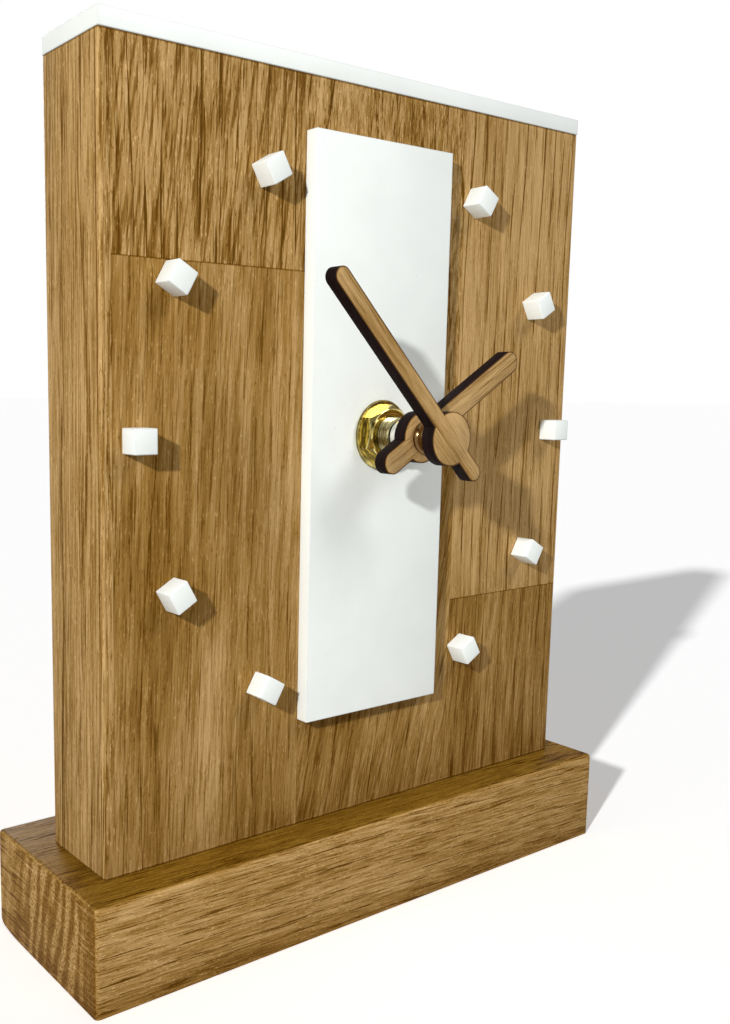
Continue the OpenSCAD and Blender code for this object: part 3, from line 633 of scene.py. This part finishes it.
class CLOCK_OT_plinth(Operator):
    """Make the oak plinth with eased edges and sawn end grain"""

    bl_idname = "clock.make_plinth"
    bl_label = "Oak plinth"

    def execute(self, context):
        looks = context.scene.clock_oak
        low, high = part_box("base")
        bm = new_box(low, high)
        heel = [e for e in square_edges(bm, top=low.z)
                if all(vert.co.y > high.y - MERGE for vert in e.verts)]
        ease_edges(bm, heel, looks.plinth_heel, HEEL_STEPS)
        foot = square_edges(bm, top=low.z)
        upper = [e for e in square_edges(bm) if e not in foot]
        ease_edges(bm, upper, looks.plinth_ease, PLINTH_STEPS)
        ease_edges(bm, square_edges(bm, top=low.z), looks.plinth_foot, FINE_STEPS)
        add_piece(bm, "oak_plinth", CASE, "oak", "base", self.oak(low, high))
        return {"FINISHED"}

    def oak(self, low, high):
        paint = new_paint("plinth oak")
        place, x, y, z = paint.place()
        across = 1.35 * (z + 62 + 0.035 * x)
        depth = 1.35 * (y + 30 + 0.02 * x)
        light, pore = oak_figure(paint, across, depth, 1.7 * x + 400, lines=0.5, vessels=0.1,
                                 fine=1.2, broad=0.6)
        facing = paint.node("SeparateXYZ", {0: paint.normal()})
        end = paint.rise(abs(facing), 0.7, 0.95)
        # Mask of the plinth's top faces, which get painted shade
        top = paint.rise(facing.output("Z"), 0.6, 0.95)
        rough = self.sawn_end(paint, place, y, z)
        gap = edge_gap((x, y, z), low, high)
        near_end = paint.fall(x - low.x / MM, 2.0, 5.0)
        # Painted highlight: a pale line just inside the edges of the plinth's end
        edge_highlight = near_end * paint.fall(abs(gap - EDGE_HIGHLIGHT_IN), 0.08, 0.26)
        foot = paint.fall(z, 1.5, 7.0)
        shown = (light - 0.14 * foot + end * (rough - light)
                 + 0.12 * edge_highlight * paint.rise(rough, 0.25, 0.5))
        return oak_surface(paint, shown, pore * (1 - end), painted_shade=top)

    def sawn_end(self, paint, place, y, z):
        """Lightness of the sawn end: broken pale bands, speckles and fine scratches."""
        sway = paint.noise(place, (0.06, 0.06, 0.03))
        patch = paint.noise(place, (0.09, 0.09, 0.07))
        speckle = paint.noise(place, (1.3, 1.3, 1.5), detail=3.0, roughness=0.75)
        scratch = paint.noise(place, (0.2, 0.07, 2.4))
        groove = paint.noise(place, (0.2, 0.06, 1.2))
        behind = paint.rise(y, 6.0, 18.0)
        turn = ((y + 0.17 * z + 10 * sway) / 4.6) % 1
        band = (paint.rise(abs(turn - 0.5) + 0.5 * (patch - 0.5), 0.1, 0.42)
                * paint.rise(patch, 0.3, 0.5) * paint.rise(y, -27.0, -17.0)
                * (1 - 0.7 * behind))
        return (0.27 + 0.12 * band + 0.3 * band * paint.rise(speckle, 0.32, 0.6)
                + 0.9 * (speckle - 0.5) + 0.24 * behind * paint.rise(patch, 0.35, 0.6)
                - 0.34 * behind * paint.rise(groove, 0.53, 0.6)
                + 0.3 * paint.rise(scratch, 0.58, 0.68))


class CLOCK_OT_block(Operator):
    """Make the upright oak block with the movement's pocket and the hole for its bush"""

    bl_idname = "clock.make_block"
    bl_label = "Oak block"

    def execute(self, context):
        looks = context.scene.clock_oak
        low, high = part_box("body")
        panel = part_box("rubber_gasket")[0].y
        half = half_width("movement_case") + looks.pocket_gap
        bm = new_box(low, high)
        upright = [e for e in bm.edges if not self.level(e)]
        ease_edges(bm, upright, looks.block_ease, BLOCK_STEPS)
        rims = [e for e in bm.edges if self.level(e)
                and any(abs(face.normal.z) > LOOKS_ALONG for face in e.link_faces)]
        ease_edges(bm, rims, looks.block_rim, FINE_STEPS)
        back = open_side(bm, (0, 1, 0))
        pocket = self.pocket_rim(bm, high.y, half, looks.pocket_corner)
        fill_between(bm, back, pocket)
        floor = draw_along(bm, pocket, panel - high.y)
        hole = bush_hole(bm, panel)
        fill_between(bm, floor, hole)
        front_hole = draw_along(bm, hole, low.y - panel)
        fill_between(bm, open_side(bm, (0, -1, 0)), front_hole)
        for face in bm.faces:
            middle = face.calc_center_median()
            inside = max(abs(middle.x), abs(middle.z - DIAL_Z)) < half + MERGE
            if inside and low.y + MM < middle.y < high.y - MM:
                face.material_index = 1
        add_piece(bm, "oak_block", CASE, "oak", "body",
                  self.oak("block oak", low, high, paler=0.0, polish=0.46),
                  self.oak("routed oak", low, high, paler=0.08, polish=0.62))
        return {"FINISHED"}

    def level(self, edge):
        return abs(edge.verts[0].co.z - edge.verts[1].co.z) < MERGE

    def pocket_rim(self, bm, y, half, corner):
        """Square outline with round corners in the back of the block."""
        turned = on_plane(y) @ Matrix.Rotation(math.pi / 4, 4, "Z")
        made = bmesh.ops.create_circle(bm, cap_ends=True, radius=half * math.sqrt(2),
                                       segments=4, matrix=turned)
        rounded = bmesh.ops.bevel(bm, geom=made["verts"], offset=corner, segments=ARC_STEPS,
                                  profile=0.5, affect="VERTICES", material=-1)
        faces = {face for vert in rounded["verts"] for face in vert.link_faces}
        return open_face(bm, max(faces, key=lambda face: face.calc_area()))

    def oak(self, name, low, high, paler, polish):
        paint = new_paint(name)
        _, x, y, z = paint.place()
        masks = []
        for stave in STAVES:
            mask = 1.0
            for value, least, most in ((x, "left", "right"), (z, "low", "high")):
                if stave[least] > -FAR:
                    mask = mask * (value > stave[least])
                if stave[most] < FAR:
                    mask = mask * (value < stave[most])
            masks.append(mask)

        def pick(column):
            return sum(mask * stave[column] for mask, stave in zip(masks, STAVES))

        rise = z - (low.z + high.z) / 2 / MM
        light, pore = oak_figure(
            paint, x + pick("side") + rise * pick("slant"),
            y + pick("behind") + rise * pick("lean"), z + pick("cut"),
            *(pick(column) for column in ("lines", "vessels", "fine", "broad")))
        seam = 0.0
        for left, right, joint in BUTT_JOINTS:
            seam = seam + paint.fall(abs(z - joint), 0.06, 0.28) * (x > left) * (x < right)
        for joint in LONG_JOINTS:
            seam = seam + 0.3 * paint.fall(abs(x - joint), 0.05, 0.2)
        # Painted contact shade: dark lines along the block's top and foot, where the strip and the
        # plinth meet it
        for rim in (low.z, high.z):
            seam = seam + 1.4 * paint.fall(abs(z - rim / MM), 0.15, 0.7)
        split = paint.fall(abs(y - low.y / MM - SPLIT_IN), 0.1, 0.32)
        length = paint.noise(paint.vector(0.0, 0.0, z), (1.0, 1.0, 0.02), detail=1.0)
        seam = seam + 1.6 * split * (x < low.x / MM + SPLIT_IN) * paint.rise(length, 0.4, 0.5)
        # Painted highlight: the block is paler along its edges, on the arrises
        wear_and_painted_edge_light = paint.fall(edge_gap((x, y, z), low, high), 0.4, 1.5)
        shown = light + pick("tone") + paler + 0.05 * wear_and_painted_edge_light - 0.3 * seam
        return oak_surface(paint, shown, pore, polish)


class CLOCK_OT_strip(Operator):
    """Make the white strip on top of the block"""

    bl_idname = "clock.make_strip"
    bl_label = "Top strip"

    def execute(self, context):
        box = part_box("top_strip")
        add_piece(new_trim(*box), "white_strip", CASE, "white_acrylic", "top_strip",
                  white_trim("strip white", *box, end_shade=0.3))
        return {"FINISHED"}


class CLOCK_OT_plate(Operator):
    """Make the white dial plate with its hole for the bush"""

    bl_idname = "clock.make_plate"
    bl_label = "Dial plate"

    def execute(self, context):
        low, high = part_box("dial_plate")
        bm = new_trim(low, high)
        back = open_side(bm, (0, 1, 0))
        front = open_side(bm, (0, -1, 0))
        hole = bush_hole(bm, high.y)
        fill_between(bm, back, hole)
        fill_between(bm, front, draw_along(bm, hole, low.y - high.y))
        add_piece(bm, "white_plate", CASE, "white_acrylic", "dial_plate",
                  white_trim("plate white", low, high))
        return {"FINISHED"}


class CLOCK_OT_marks(Operator):
    """Make the ten white cubes that mark the hours, each turned towards the hand axis"""

    bl_idname = "clock.make_marks"
    bl_label = "Hour marks"

    def execute(self, context):
        low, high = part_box("hour_cube_3")
        ring = (low.x + high.x) / 2
        half = half_width("hour_cube_3")
        for hour in HOURS:
            node = f"hour_cube_{hour}"
            bm = new_trim(Vector((-half, ring - half, 0)), Vector((half, ring + half, 2 * half)))
            add_piece(bm, f"white_mark_{hour}", CASE, "white_acrylic", node,
                      white_trim(f"mark white {hour}", *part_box(node)),
                      place=ON_DIAL @ Matrix.Rotation(-math.tau * hour / 12, 4, "Z"))
        return {"FINISHED"}


class CLOCK_OT_hands(Operator):
    """Make the two wooden hands with their tube and collet"""

    bl_idname = "clock.make_hands"
    bl_label = "Hands"

    def execute(self, context):
        looks = context.scene.clock_hands
        hub = context.scene.clock_hub
        burnt = self.burnt_edge(looks.burnt)
        for hand, hole, tone in HANDS:
            sizes = [getattr(looks, f"{hand}_{size}")
                     for size in ("length", "tail", "width", "boss")]
            angle = getattr(looks, f"{hand}_angle")
            node = f"{hand}_hand"
            bm = bmesh.new()
            self.outline(bm, *sizes)
            self.thicken(bm, hole, looks.burnt_rim, *depths(node))
            add_piece(bm, f"wooden_{node}", hand, "oak_veneer", node,
                      self.veneer(f"{hand} veneer", tone, angle, *sizes), burnt,
                      place=ON_DIAL @ Matrix.Rotation(-angle, 4, "Z"))
        self.tube(turned_metal("turned aluminium", hub.aluminium, roughness=0.34))
        self.collet(turned_metal("red brass", hub.shaded_red_brass, roughness=0.16))
        return {"FINISHED"}

    def outline(self, bm, length, tail, width, boss):
        """Right half of a hand that points up, drawn in arcs and lines, then mirrored."""
        half = width / 2
        side = math.asin(half / boss)
        last = bm.verts.new((0, length, 0))
        last = self.arc(bm, last, length - half, math.pi / 2)
        last = self.line(bm, last, (half, boss * math.cos(side), 0))
        last = self.arc(bm, last, 0, math.pi - 2 * side, 3 * ARC_STEPS)
        last = self.line(bm, last, (half, half - tail, 0))
        self.arc(bm, last, half - tail, math.pi / 2)
        bmesh.ops.mirror(bm, geom=bm.verts[:] + bm.edges[:], matrix=Matrix.Identity(4),
                         merge_dist=MIRROR_MERGE, axis="X")
        bmesh.ops.remove_doubles(bm, verts=bm.verts, dist=MIRROR_MERGE)

    def arc(self, bm, vert, centre_y, angle, steps=ARC_STEPS):
        made = bmesh.ops.spin(bm, geom=[vert], cent=(0, centre_y, 0), axis=(0, 0, -1),
                              angle=angle, steps=steps)
        return only(bmesh.types.BMVert, made["geom_last"])[0]

    def line(self, bm, vert, end):
        last = bmesh.ops.extrude_vert_indiv(bm, verts=[vert])["verts"][0]
        bmesh.ops.translate(bm, vec=Vector(end) - last.co, verts=[last])
        return last

    def thicken(self, bm, hole, rim_width, back, front):
        """Fill the outline round its hole, draw it out and mark the burnt edge."""
        loops = [bm.edges[:]]
        if hole:
            loops.append(circle_edges(bm, hole, Matrix.Identity(4)))
        bmesh.ops.translate(bm, vec=(0, 0, back), verts=bm.verts)
        fill_between(bm, *loops)
        made = bmesh.ops.extrude_face_region(bm, geom=bm.faces[:], use_keep_orig=True)
        bmesh.ops.translate(bm, vec=(0, 0, front - back),
                            verts=only(bmesh.types.BMVert, made["geom"]))
        bmesh.ops.recalc_face_normals(bm, faces=bm.faces)
        ease_edges(bm, square_edges(bm), rim_width, FINE_STEPS)
        bm.normal_update()
        for face in bm.faces:
            face.material_index = 0 if abs(face.normal.z) > LOOKS_ALONG else 1

    def veneer(self, name, tone, angle, length, tail, width, boss):
        """Pale oak face with a thin scorched line along its outline."""
        paint = new_paint(name)
        _, x, y, z = paint.place()
        up = z - DIAL_Z / MM
        along = x * math.sin(angle) + up * math.cos(angle)
        across = x * math.cos(angle) - up * math.sin(angle)
        light, pore = oak_figure(paint, 2 * across + 64, 0.5 * y + 40, 2 * along + 50,
                                 lines=0.2, vessels=0.2, fine=0.75, broad=1.5)
        half = width / 2 / MM
        held = along.most(half - tail / MM).least(length / MM - half)
        in_arm = half - reach(across, along - held)
        in_boss = boss / MM - reach(across, along)
        scorch = paint.fall(in_arm.most(in_boss), 0.22, 0.42)
        return oak_surface(paint, light + tone - 0.7 * scorch, pore, polish=0.5,
                           gloss=0.2)

    def burnt_edge(self, colour):
        paint = new_paint("burnt edge")
        place = paint.place()[0]
        ripple = paint.noise(place, (4.5, 0.3, 4.5))
        layer = paint.noise(place, (0.1, 1.6, 0.1))
        return paint.surface(paint.patchy(layer, colour, 1.0, 1.7, 0.4, 0.75),
                             0.42 + 0.3 * ripple, ripple, 60, Specular_IOR_Level=0.03)

    def tube(self, material):
        back, front = depths("hour_hand_tube")
        shoulder = depths("hour_hand")[0]
        outside = half_width("hour_hand_tube")
        bore, spigot, ease = outside * 0.63, outside * 0.81, outside * 0.06
        bm = new_turned((
            (bore, back), (outside - ease, back), (outside, back + ease), (outside, shoulder),
            (spigot, shoulder), (spigot, front), (bore, front)))
        add_piece(bm, "hour_tube", "hour", "aluminium", "hour_hand_tube", material,
                  place=ON_DIAL)

    def collet(self, material):
        back, front = depths("minute_hand_collet")
        shoulder = depths("minute_hand")[0]
        outside = half_width("minute_hand_collet")
        bore, spigot, barrel = outside * 0.35, outside * 0.67, outside * 0.9
        rim, ease = back + outside * 0.28, outside * 0.06
        bm = new_turned((
            (bore, back), (outside - ease, back), (outside, back + ease), (outside, rim - ease),
            (outside - ease, rim), (barrel, rim + ease), (barrel, shoulder), (spigot, shoulder),
            (spigot, front), (bore, front)))
        add_piece(bm, "minute_collet", "minute", "brass", "minute_hand_collet", material,
                  place=ON_DIAL)


class CLOCK_OT_hub(Operator):
    """Make the brass washer, the chamfered nut and the threaded bush"""

    bl_idname = "clock.make_hub"
    bl_label = "Hub"

    def execute(self, context):
        looks = context.scene.clock_hub
        polished = turned_metal("polished brass", looks.brass, roughness=0.13, dull=0.34,
                                bright=1.3)
        flats = turned_metal("nut brass", looks.brass, roughness=0.11, dull=0.26, bright=1.4,
                             facet_reflection=1.6)
        thread = turned_metal("thread brass", THREAD_BRASS, roughness=0.24, rings=3.0)
        self.washer(polished, looks.thread_size / 2)
        self.nut(flats, looks.thread_size / 2, looks.nut_turn)
        self.bush(thread, looks)
        return {"FINISHED"}

    def washer(self, material, thread_radius):
        back, front = depths("nut_washer")
        outside = half_width("nut_washer")
        bore = thread_radius * 1.04
        ease = (front - back) * 0.3
        bm = new_turned((
            (bore, back), (outside - ease, back), (outside, back + ease),
            (outside, front - ease), (outside - ease, front), (bore, front)))
        add_piece(bm, "brass_washer", CASE, "brass", "nut_washer", material, place=ON_DIAL)

    def nut(self, material, thread_radius, turn):
        """Hexagon with its front corners turned off to a cone, bridged from rings of points."""
        back, front = depths("hand_nut")
        low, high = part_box("hand_nut")
        corner = (high.z - low.z) / 2 / math.cos(turn)
        rim = corner * math.cos(math.pi / 6) * 0.972
        bore = thread_radius * 1.01
        mouth = 0.06 * bore
        bm = bmesh.new()

        def ring(radius, depth, segments=ROUND_STEPS):
            place = Matrix.Translation((0, 0, depth)) @ Matrix.Rotation(turn, 4, "Z")
            return circle_edges(bm, radius, place, segments)

        def hexagon(depth):
            bmesh.ops.subdivide_edges(bm, edges=ring(corner, depth, 6),
                                      cuts=ROUND_STEPS // 6 - 1)
            return [e for e in bm.edges if e.is_wire and e.verts[0].co.z > depth - MERGE]

        foot = hexagon(back)
        shoulder = hexagon(front)
        for vert in {v for edge in shoulder for v in edge.verts}:
            over = max(0.0, vert.co.to_2d().length - rim)
            vert.co.z -= over * math.tan(math.pi / 6)
        loops = (foot, shoulder, ring(rim, front), ring(bore + mouth, front),
                 ring(bore, front - mouth), ring(bore, back), foot)
        for first, second in zip(loops, loops[1:]):
            bmesh.ops.bridge_loops(bm, edges=first + second)
        add_piece(bm, "brass_nut", CASE, "brass", "hand_nut", material, place=ON_DIAL,
                  sharp=SHARP_ANGLE / 2)

    def bush(self, material, looks):
        """Bush turned to the root of its thread, with the thread wound on in front."""
        back, front = depths("threaded_bush")
        flange = half_width("threaded_bush")
        flange_back, flange_front = depths("rubber_gasket")
        crest, bore, pitch = looks.thread_size / 2, looks.bore / 2, looks.thread_pitch
        root = crest - 0.55 * pitch
        run_out = front - 0.8 * pitch
        chamfer, mouth = 0.4 * pitch, 0.24 * pitch
        bm = new_turned((
            (bore, back), (root, back), (root, flange_back), (flange, flange_back),
            (flange, flange_front), (root, flange_front), (root, front - chamfer),
            (root - chamfer, front), (bore + mouth, front), (bore, front - mouth)))
        turns = int((run_out - depths("hand_nut")[0]) / pitch)
        start = run_out - turns * pitch
        under, foot, tip = root - 0.1 * pitch, 0.46 * pitch, 0.06 * pitch
        verts, edges = closed_line(bm, ((under, start - foot), (crest, start - tip),
                                        (crest, start + tip), (under, start + foot)))
        bmesh.ops.contextual_create(bm, geom=edges)
        made = bmesh.ops.spin(bm, geom=verts + edges, cent=(0, 0, 0), axis=(0, 0, 1),
                              dvec=(0, 0, pitch / THREAD_STEPS), angle=math.tau * turns,
                              steps=THREAD_STEPS * turns)
        bmesh.ops.contextual_create(bm, geom=only(bmesh.types.BMEdge, made["geom_last"]))
        add_piece(bm, "threaded_brass_bush", CASE, "brass", "threaded_bush", material,
                  place=ON_DIAL)


class CLOCK_OT_cell(Operator):
    """Make the cell with its jacket, shoulder and nub"""

    bl_idname = "clock.make_cell"
    bl_label = "Cell"

    # Height of the bare ends, radius of their rolled edges, depth of the hollow in the minus
    # end and thickness of the jacket
    lip, roll, hollow, sleeve = 0.001, 0.0004, 0.0003, 0.00015

    def execute(self, context):
        looks = context.scene.clock_movement
        low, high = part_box("cell")
        middle = (low + high) / 2
        length = high.x - low.x
        radius = (high.z - low.z) / 2
        lip, roll = self.lip, self.roll
        nub, can, top = 0.38 * radius, radius - self.sleeve, length - lip
        bm = new_turned((
            (0, self.hollow), (0.55 * radius, self.hollow), (0.6 * radius, 0),
            (can - 2 * roll, 0), (can - roll, roll), (radius - roll, lip), (radius, lip + roll),
            (radius, top - lip), (radius - roll, top - lip + roll), (can - 2 * roll, top - roll),
            (nub + 2 * roll, top - 2 * roll), (nub + roll, top), (nub, top + roll),
            (nub, length - roll), (nub - roll, length), (0, length)))
        for face in bm.faces:
            face.material_index = 0 if lip < face.calc_center_median().z < top - lip else 1
        add_piece(bm, "round_cell", CASE, "cell_jacket", "cell",
                  self.jacket(looks.jacket, looks.band, low.x, high.x),
                  sheet_metal("cell can", CAN_METAL, roughness=0.3),
                  place=Matrix.Translation((low.x, middle.y, middle.z))
                  @ Matrix.Rotation(math.pi / 2, 4, "Y"))
        return {"FINISHED"}

    def jacket(self, colour, band, start, end):
        """Printed sleeve in two plain colours."""
        paint = new_paint("cell jacket")
        place, x, _, _ = paint.place()
        seam = (start + 0.74 * (end - start)) / MM
        flake = paint.noise(place, 3.0)
        scuff = paint.noise(place, (0.25, 0.9, 0.9), detail=4.0, roughness=0.6)
        tint = paint.mix(paint.rise(x, seam - 0.1, seam + 0.1), colour, band)
        wear_and_painted_edge_light = paint.mix(0.35 * paint.rise(scuff, 0.55, 0.8), tint, shade(band, 0.8))
        return paint.surface(wear_and_painted_edge_light, 0.3 + 0.25 * scuff, flake, 4, Metallic=0.25 + 0.2 * flake)


class CLOCK_OT_movement(Operator):
    """Give the movement's moulded case, wheels, coil, board and contacts their materials"""

    bl_idname = "clock.dress_movement"
    bl_label = "Movement"

    def execute(self, context):
        looks = context.scene.clock_movement
        moulded = ("movement_case", "movement_cover", "setting_knob", "chip_cover")
        dress(moulded_plastic("black plastic", looks.plastic), *moulded)
        for node in moulded:
            self.round_edges(node, looks.edge)
        dress(moulded_plastic("white plastic", WHITE_PLASTIC, roughness=0.4, per_mm=8.0),
              "hour_wheel", "third_wheel", "seconds_wheel", "intermediate_wheel",
              "rotor_pinion", "setting_wheel", "coil_bobbin")
        dress(sheet_metal("bright steel", STEEL, roughness=0.28), "minute_arbor", "stator",
              "coil_core", "quartz_crystal", "cell_contact_plus", "cell_contact_minus")
        brass = context.scene.clock_hub.brass
        dress(sheet_metal("sheet brass", brass, roughness=0.3), "centre_wheel")
        for node, name, colour, roughness, per_mm in PLAIN_PARTS:
            dress(moulded_plastic(name, colour, roughness, per_mm), node)
        dress(self.winding(), "coil_winding")
        dress(self.beech(), "dowels")
        return {"FINISHED"}

    def round_edges(self, node, radius):
        """Give a moulded node small rounded edges."""
        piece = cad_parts[node]
        weld = piece.modifiers.new("weld", "WELD")
        weld.merge_threshold = WELD_GAP
        edges = piece.modifiers.new("edges", "BEVEL")
        edges.width = radius
        edges.segments = FINE_STEPS
        edges.limit_method = "ANGLE"
        edges.angle_limit = MOULD_ANGLE

    def winding(self):
        """Enamelled wire in close turns up the bobbin."""
        paint = new_paint("copper winding")
        place, _, _, z = paint.place()
        turns = abs((z * 6) % 1 - 0.5)
        patch = paint.noise(place, (0.8, 0.8, 4.0))
        return paint.surface(paint.mix(paint.rise(patch, 0.3, 0.7), *COPPER),
                             0.3 + 0.2 * turns, turns, 80, Metallic=1.0)

    def beech(self):
        """Plain beech with small flecks."""
        paint = new_paint("beech")
        place = paint.place()[0]
        grain = paint.noise(place, (1.4, 1.4, 0.05), detail=4.0)
        fleck = paint.rise(paint.noise(place, (1.6, 1.6, 0.3), detail=1.0), 0.62, 0.7)
        tint = paint.mix(paint.rise(grain, 0.3, 0.7), *BEECH)
        return paint.surface(paint.mix(0.5 * fleck, tint, BEECH_FLECK), 0.5 + 0.2 * grain,
                             grain, 20)


class CLOCK_OT_stage(Operator):
    """Set up the white floor, the sky, the lights and the camera"""

    bl_idname = "clock.set_stage"
    bl_label = "Studio"

    # Place and radius of the lamp, and the direction in which each other light travels
    key_place = Vector((-0.5, -0.28, 0.33))
    key_radius = 0.012
    fill_way = Vector((-0.42, 0.6, -0.68))
    back_way = Vector((-0.25, -0.92, -0.3))
    shadow_way = Vector((0.851, 0.374, -0.365))
    soft_angle = math.radians(20)
    shadow_angle = math.radians(2)
    floor_radius = 12.0
    floor_segments = 64
    # Camera: eye, direction of view, roll, focal length, shift of the frame, nearest distance
    eye = Vector((-0.2029, -0.23266, 0.14921))
    forward = Vector((0.57523, 0.80606, -0.13919))
    roll = math.radians(0.43)
    lens = 36.91
    shift = (0.134, 0.0215)
    near_clip = 0.01

    def execute(self, context):
        looks = context.scene.clock_stage
        floor = self.floor(looks)
        self.sky(context.scene, looks)
        clock_lights = (
            self.lamp("key_light", looks.key, self.key_place, self.key_radius),
            self.sun("fill_light", looks.fill, self.fill_way, self.soft_angle),
            self.sun("back_light", looks.back, self.back_way, self.soft_angle))
        for light in clock_lights:
            self.link(light, floor, "EXCLUDE")
        shadow = self.sun("shadow_light", looks.shadow, self.shadow_way, self.shadow_angle)
        self.link(shadow, floor, "INCLUDE")
        self.camera(context.scene)
        context.scene.view_settings.view_transform = "Standard"
        return {"FINISHED"}

    def seen(self, paint):
        """1 for rays that show the surroundings to the eye, straight or in a reflection."""
        camera = paint.node("LightPath", output="Is Camera Ray")
        other = camera.output("Is Glossy Ray") + camera.output("Is Transmission Ray")
        return (camera + other).least(1.0)

    def floor(self, looks):
        bm = bmesh.new()
        bmesh.ops.create_circle(bm, cap_ends=True, radius=self.floor_radius,
                                segments=self.floor_segments)
        mesh = new_mesh("floor", bm)
        paint = new_paint("floor white")
        seen = self.seen(paint)
        colour = paint.mix(seen, looks.floor, (looks.floor_shown,) * 3)
        matt = paint.node("BsdfDiffuse", {"Color": colour})
        white = paint.node("Emission", {"Color": (1, 1, 1, 1)})
        shader = paint.node("MixShader", {0: looks.floor_glow * seen, 1: matt, 2: white})
        paint.node("OutputMaterial", {"Surface": shader})
        mesh.materials.append(paint.owner)
        floor = new_object("floor", mesh)
        return floor

    def sky(self, scene, looks):
        scene.world = bpy.data.worlds.new("white studio")
        paint = Paint(scene.world)
        strength = looks.sky + (1 - looks.sky) * self.seen(paint)
        shader = paint.node("Background", {"Color": (1, 1, 1, 1), "Strength": strength})
        paint.node("OutputWorld", {"Surface": shader})

    def lamp(self, name, power, place, radius):
        """Small round lamp that is as bright on the far side of the clock as on the near."""
        source = bpy.data.lights.new(name, "POINT")
        source.energy = power
        source.shadow_soft_size = radius
        paint = Paint(source)
        even = paint.node("LightFalloff", {"Strength": 1.0}, output="Constant")
        shader = paint.node("Emission", {"Strength": even})
        paint.node("OutputLight", {"Surface": shader})
        light = new_object(name, source)
        light.location = place
        return light

    def sun(self, name, strength, way, angle):
        source = bpy.data.lights.new(name, "SUN")
        source.energy = strength
        source.angle = angle
        light = new_object(name, source)
        light.rotation_euler = way.to_track_quat("-Z", "Y").to_euler()
        return light

    def link(self, light, floor, state):
        """Let a light fall only on the floor, or on everything but the floor."""
        group = bpy.data.collections.new(f"{light.name} receivers")
        group.objects.link(floor)
        group.collection_objects[0].light_linking.link_state = state
        light.light_linking.receiver_collection = group

    def camera(self, scene):
        optics = bpy.data.cameras.new("camera")
        optics.lens = self.lens
        optics.shift_x, optics.shift_y = self.shift
        optics.clip_start = self.near_clip
        scene.camera = new_object("camera", optics)
        turn = self.forward.to_track_quat("-Z", "Y").to_matrix().to_4x4()
        scene.camera.matrix_world = (Matrix.Translation(self.eye) @ turn
                                     @ Matrix.Rotation(self.roll, 4, "Z"))


OPERATORS = (
    CLOCK_OT_plinth, CLOCK_OT_block, CLOCK_OT_strip, CLOCK_OT_plate, CLOCK_OT_marks,
    CLOCK_OT_hands, CLOCK_OT_hub, CLOCK_OT_cell, CLOCK_OT_movement, CLOCK_OT_stage,
)
LOOKS = {
    "clock_oak": OakLooks, "clock_trim": TrimLooks, "clock_hands": HandLooks,
    "clock_hub": HubLooks, "clock_movement": MovementLooks, "clock_stage": StageLooks,
}


class CLOCK_PT_build(Panel):
    """Lists the clock's pieces and the looks that can be changed"""

    bl_idname = "CLOCK_PT_build"
    bl_label = "Oak Table Clock"
    bl_space_type = "VIEW_3D"
    bl_region_type = "UI"
    bl_category = "Clock"

    def draw(self, context):
        for operator in OPERATORS:
            self.layout.operator(operator.bl_idname)
        for name, group in LOOKS.items():
            box = self.layout.box()
            box.label(text=group.__doc__)
            for setting in group.__annotations__:
                box.prop(getattr(context.scene, name), setting)


CLASSES = (*LOOKS.values(), *OPERATORS, CLOCK_PT_build)


def register():
    for kind in CLASSES:
        bpy.utils.register_class(kind)
    for name, group in LOOKS.items():
        setattr(bpy.types.Scene, name, PointerProperty(type=group))


def unregister():
    for name in LOOKS:
        delattr(bpy.types.Scene, name)
    for kind in reversed(CLASSES):
        bpy.utils.unregister_class(kind)


def main():
    register()
    for operator in OPERATORS:
        group, name = operator.bl_idname.split(".")
        getattr(getattr(bpy.ops, group), name)()


if __name__ == "__main__":
    main()
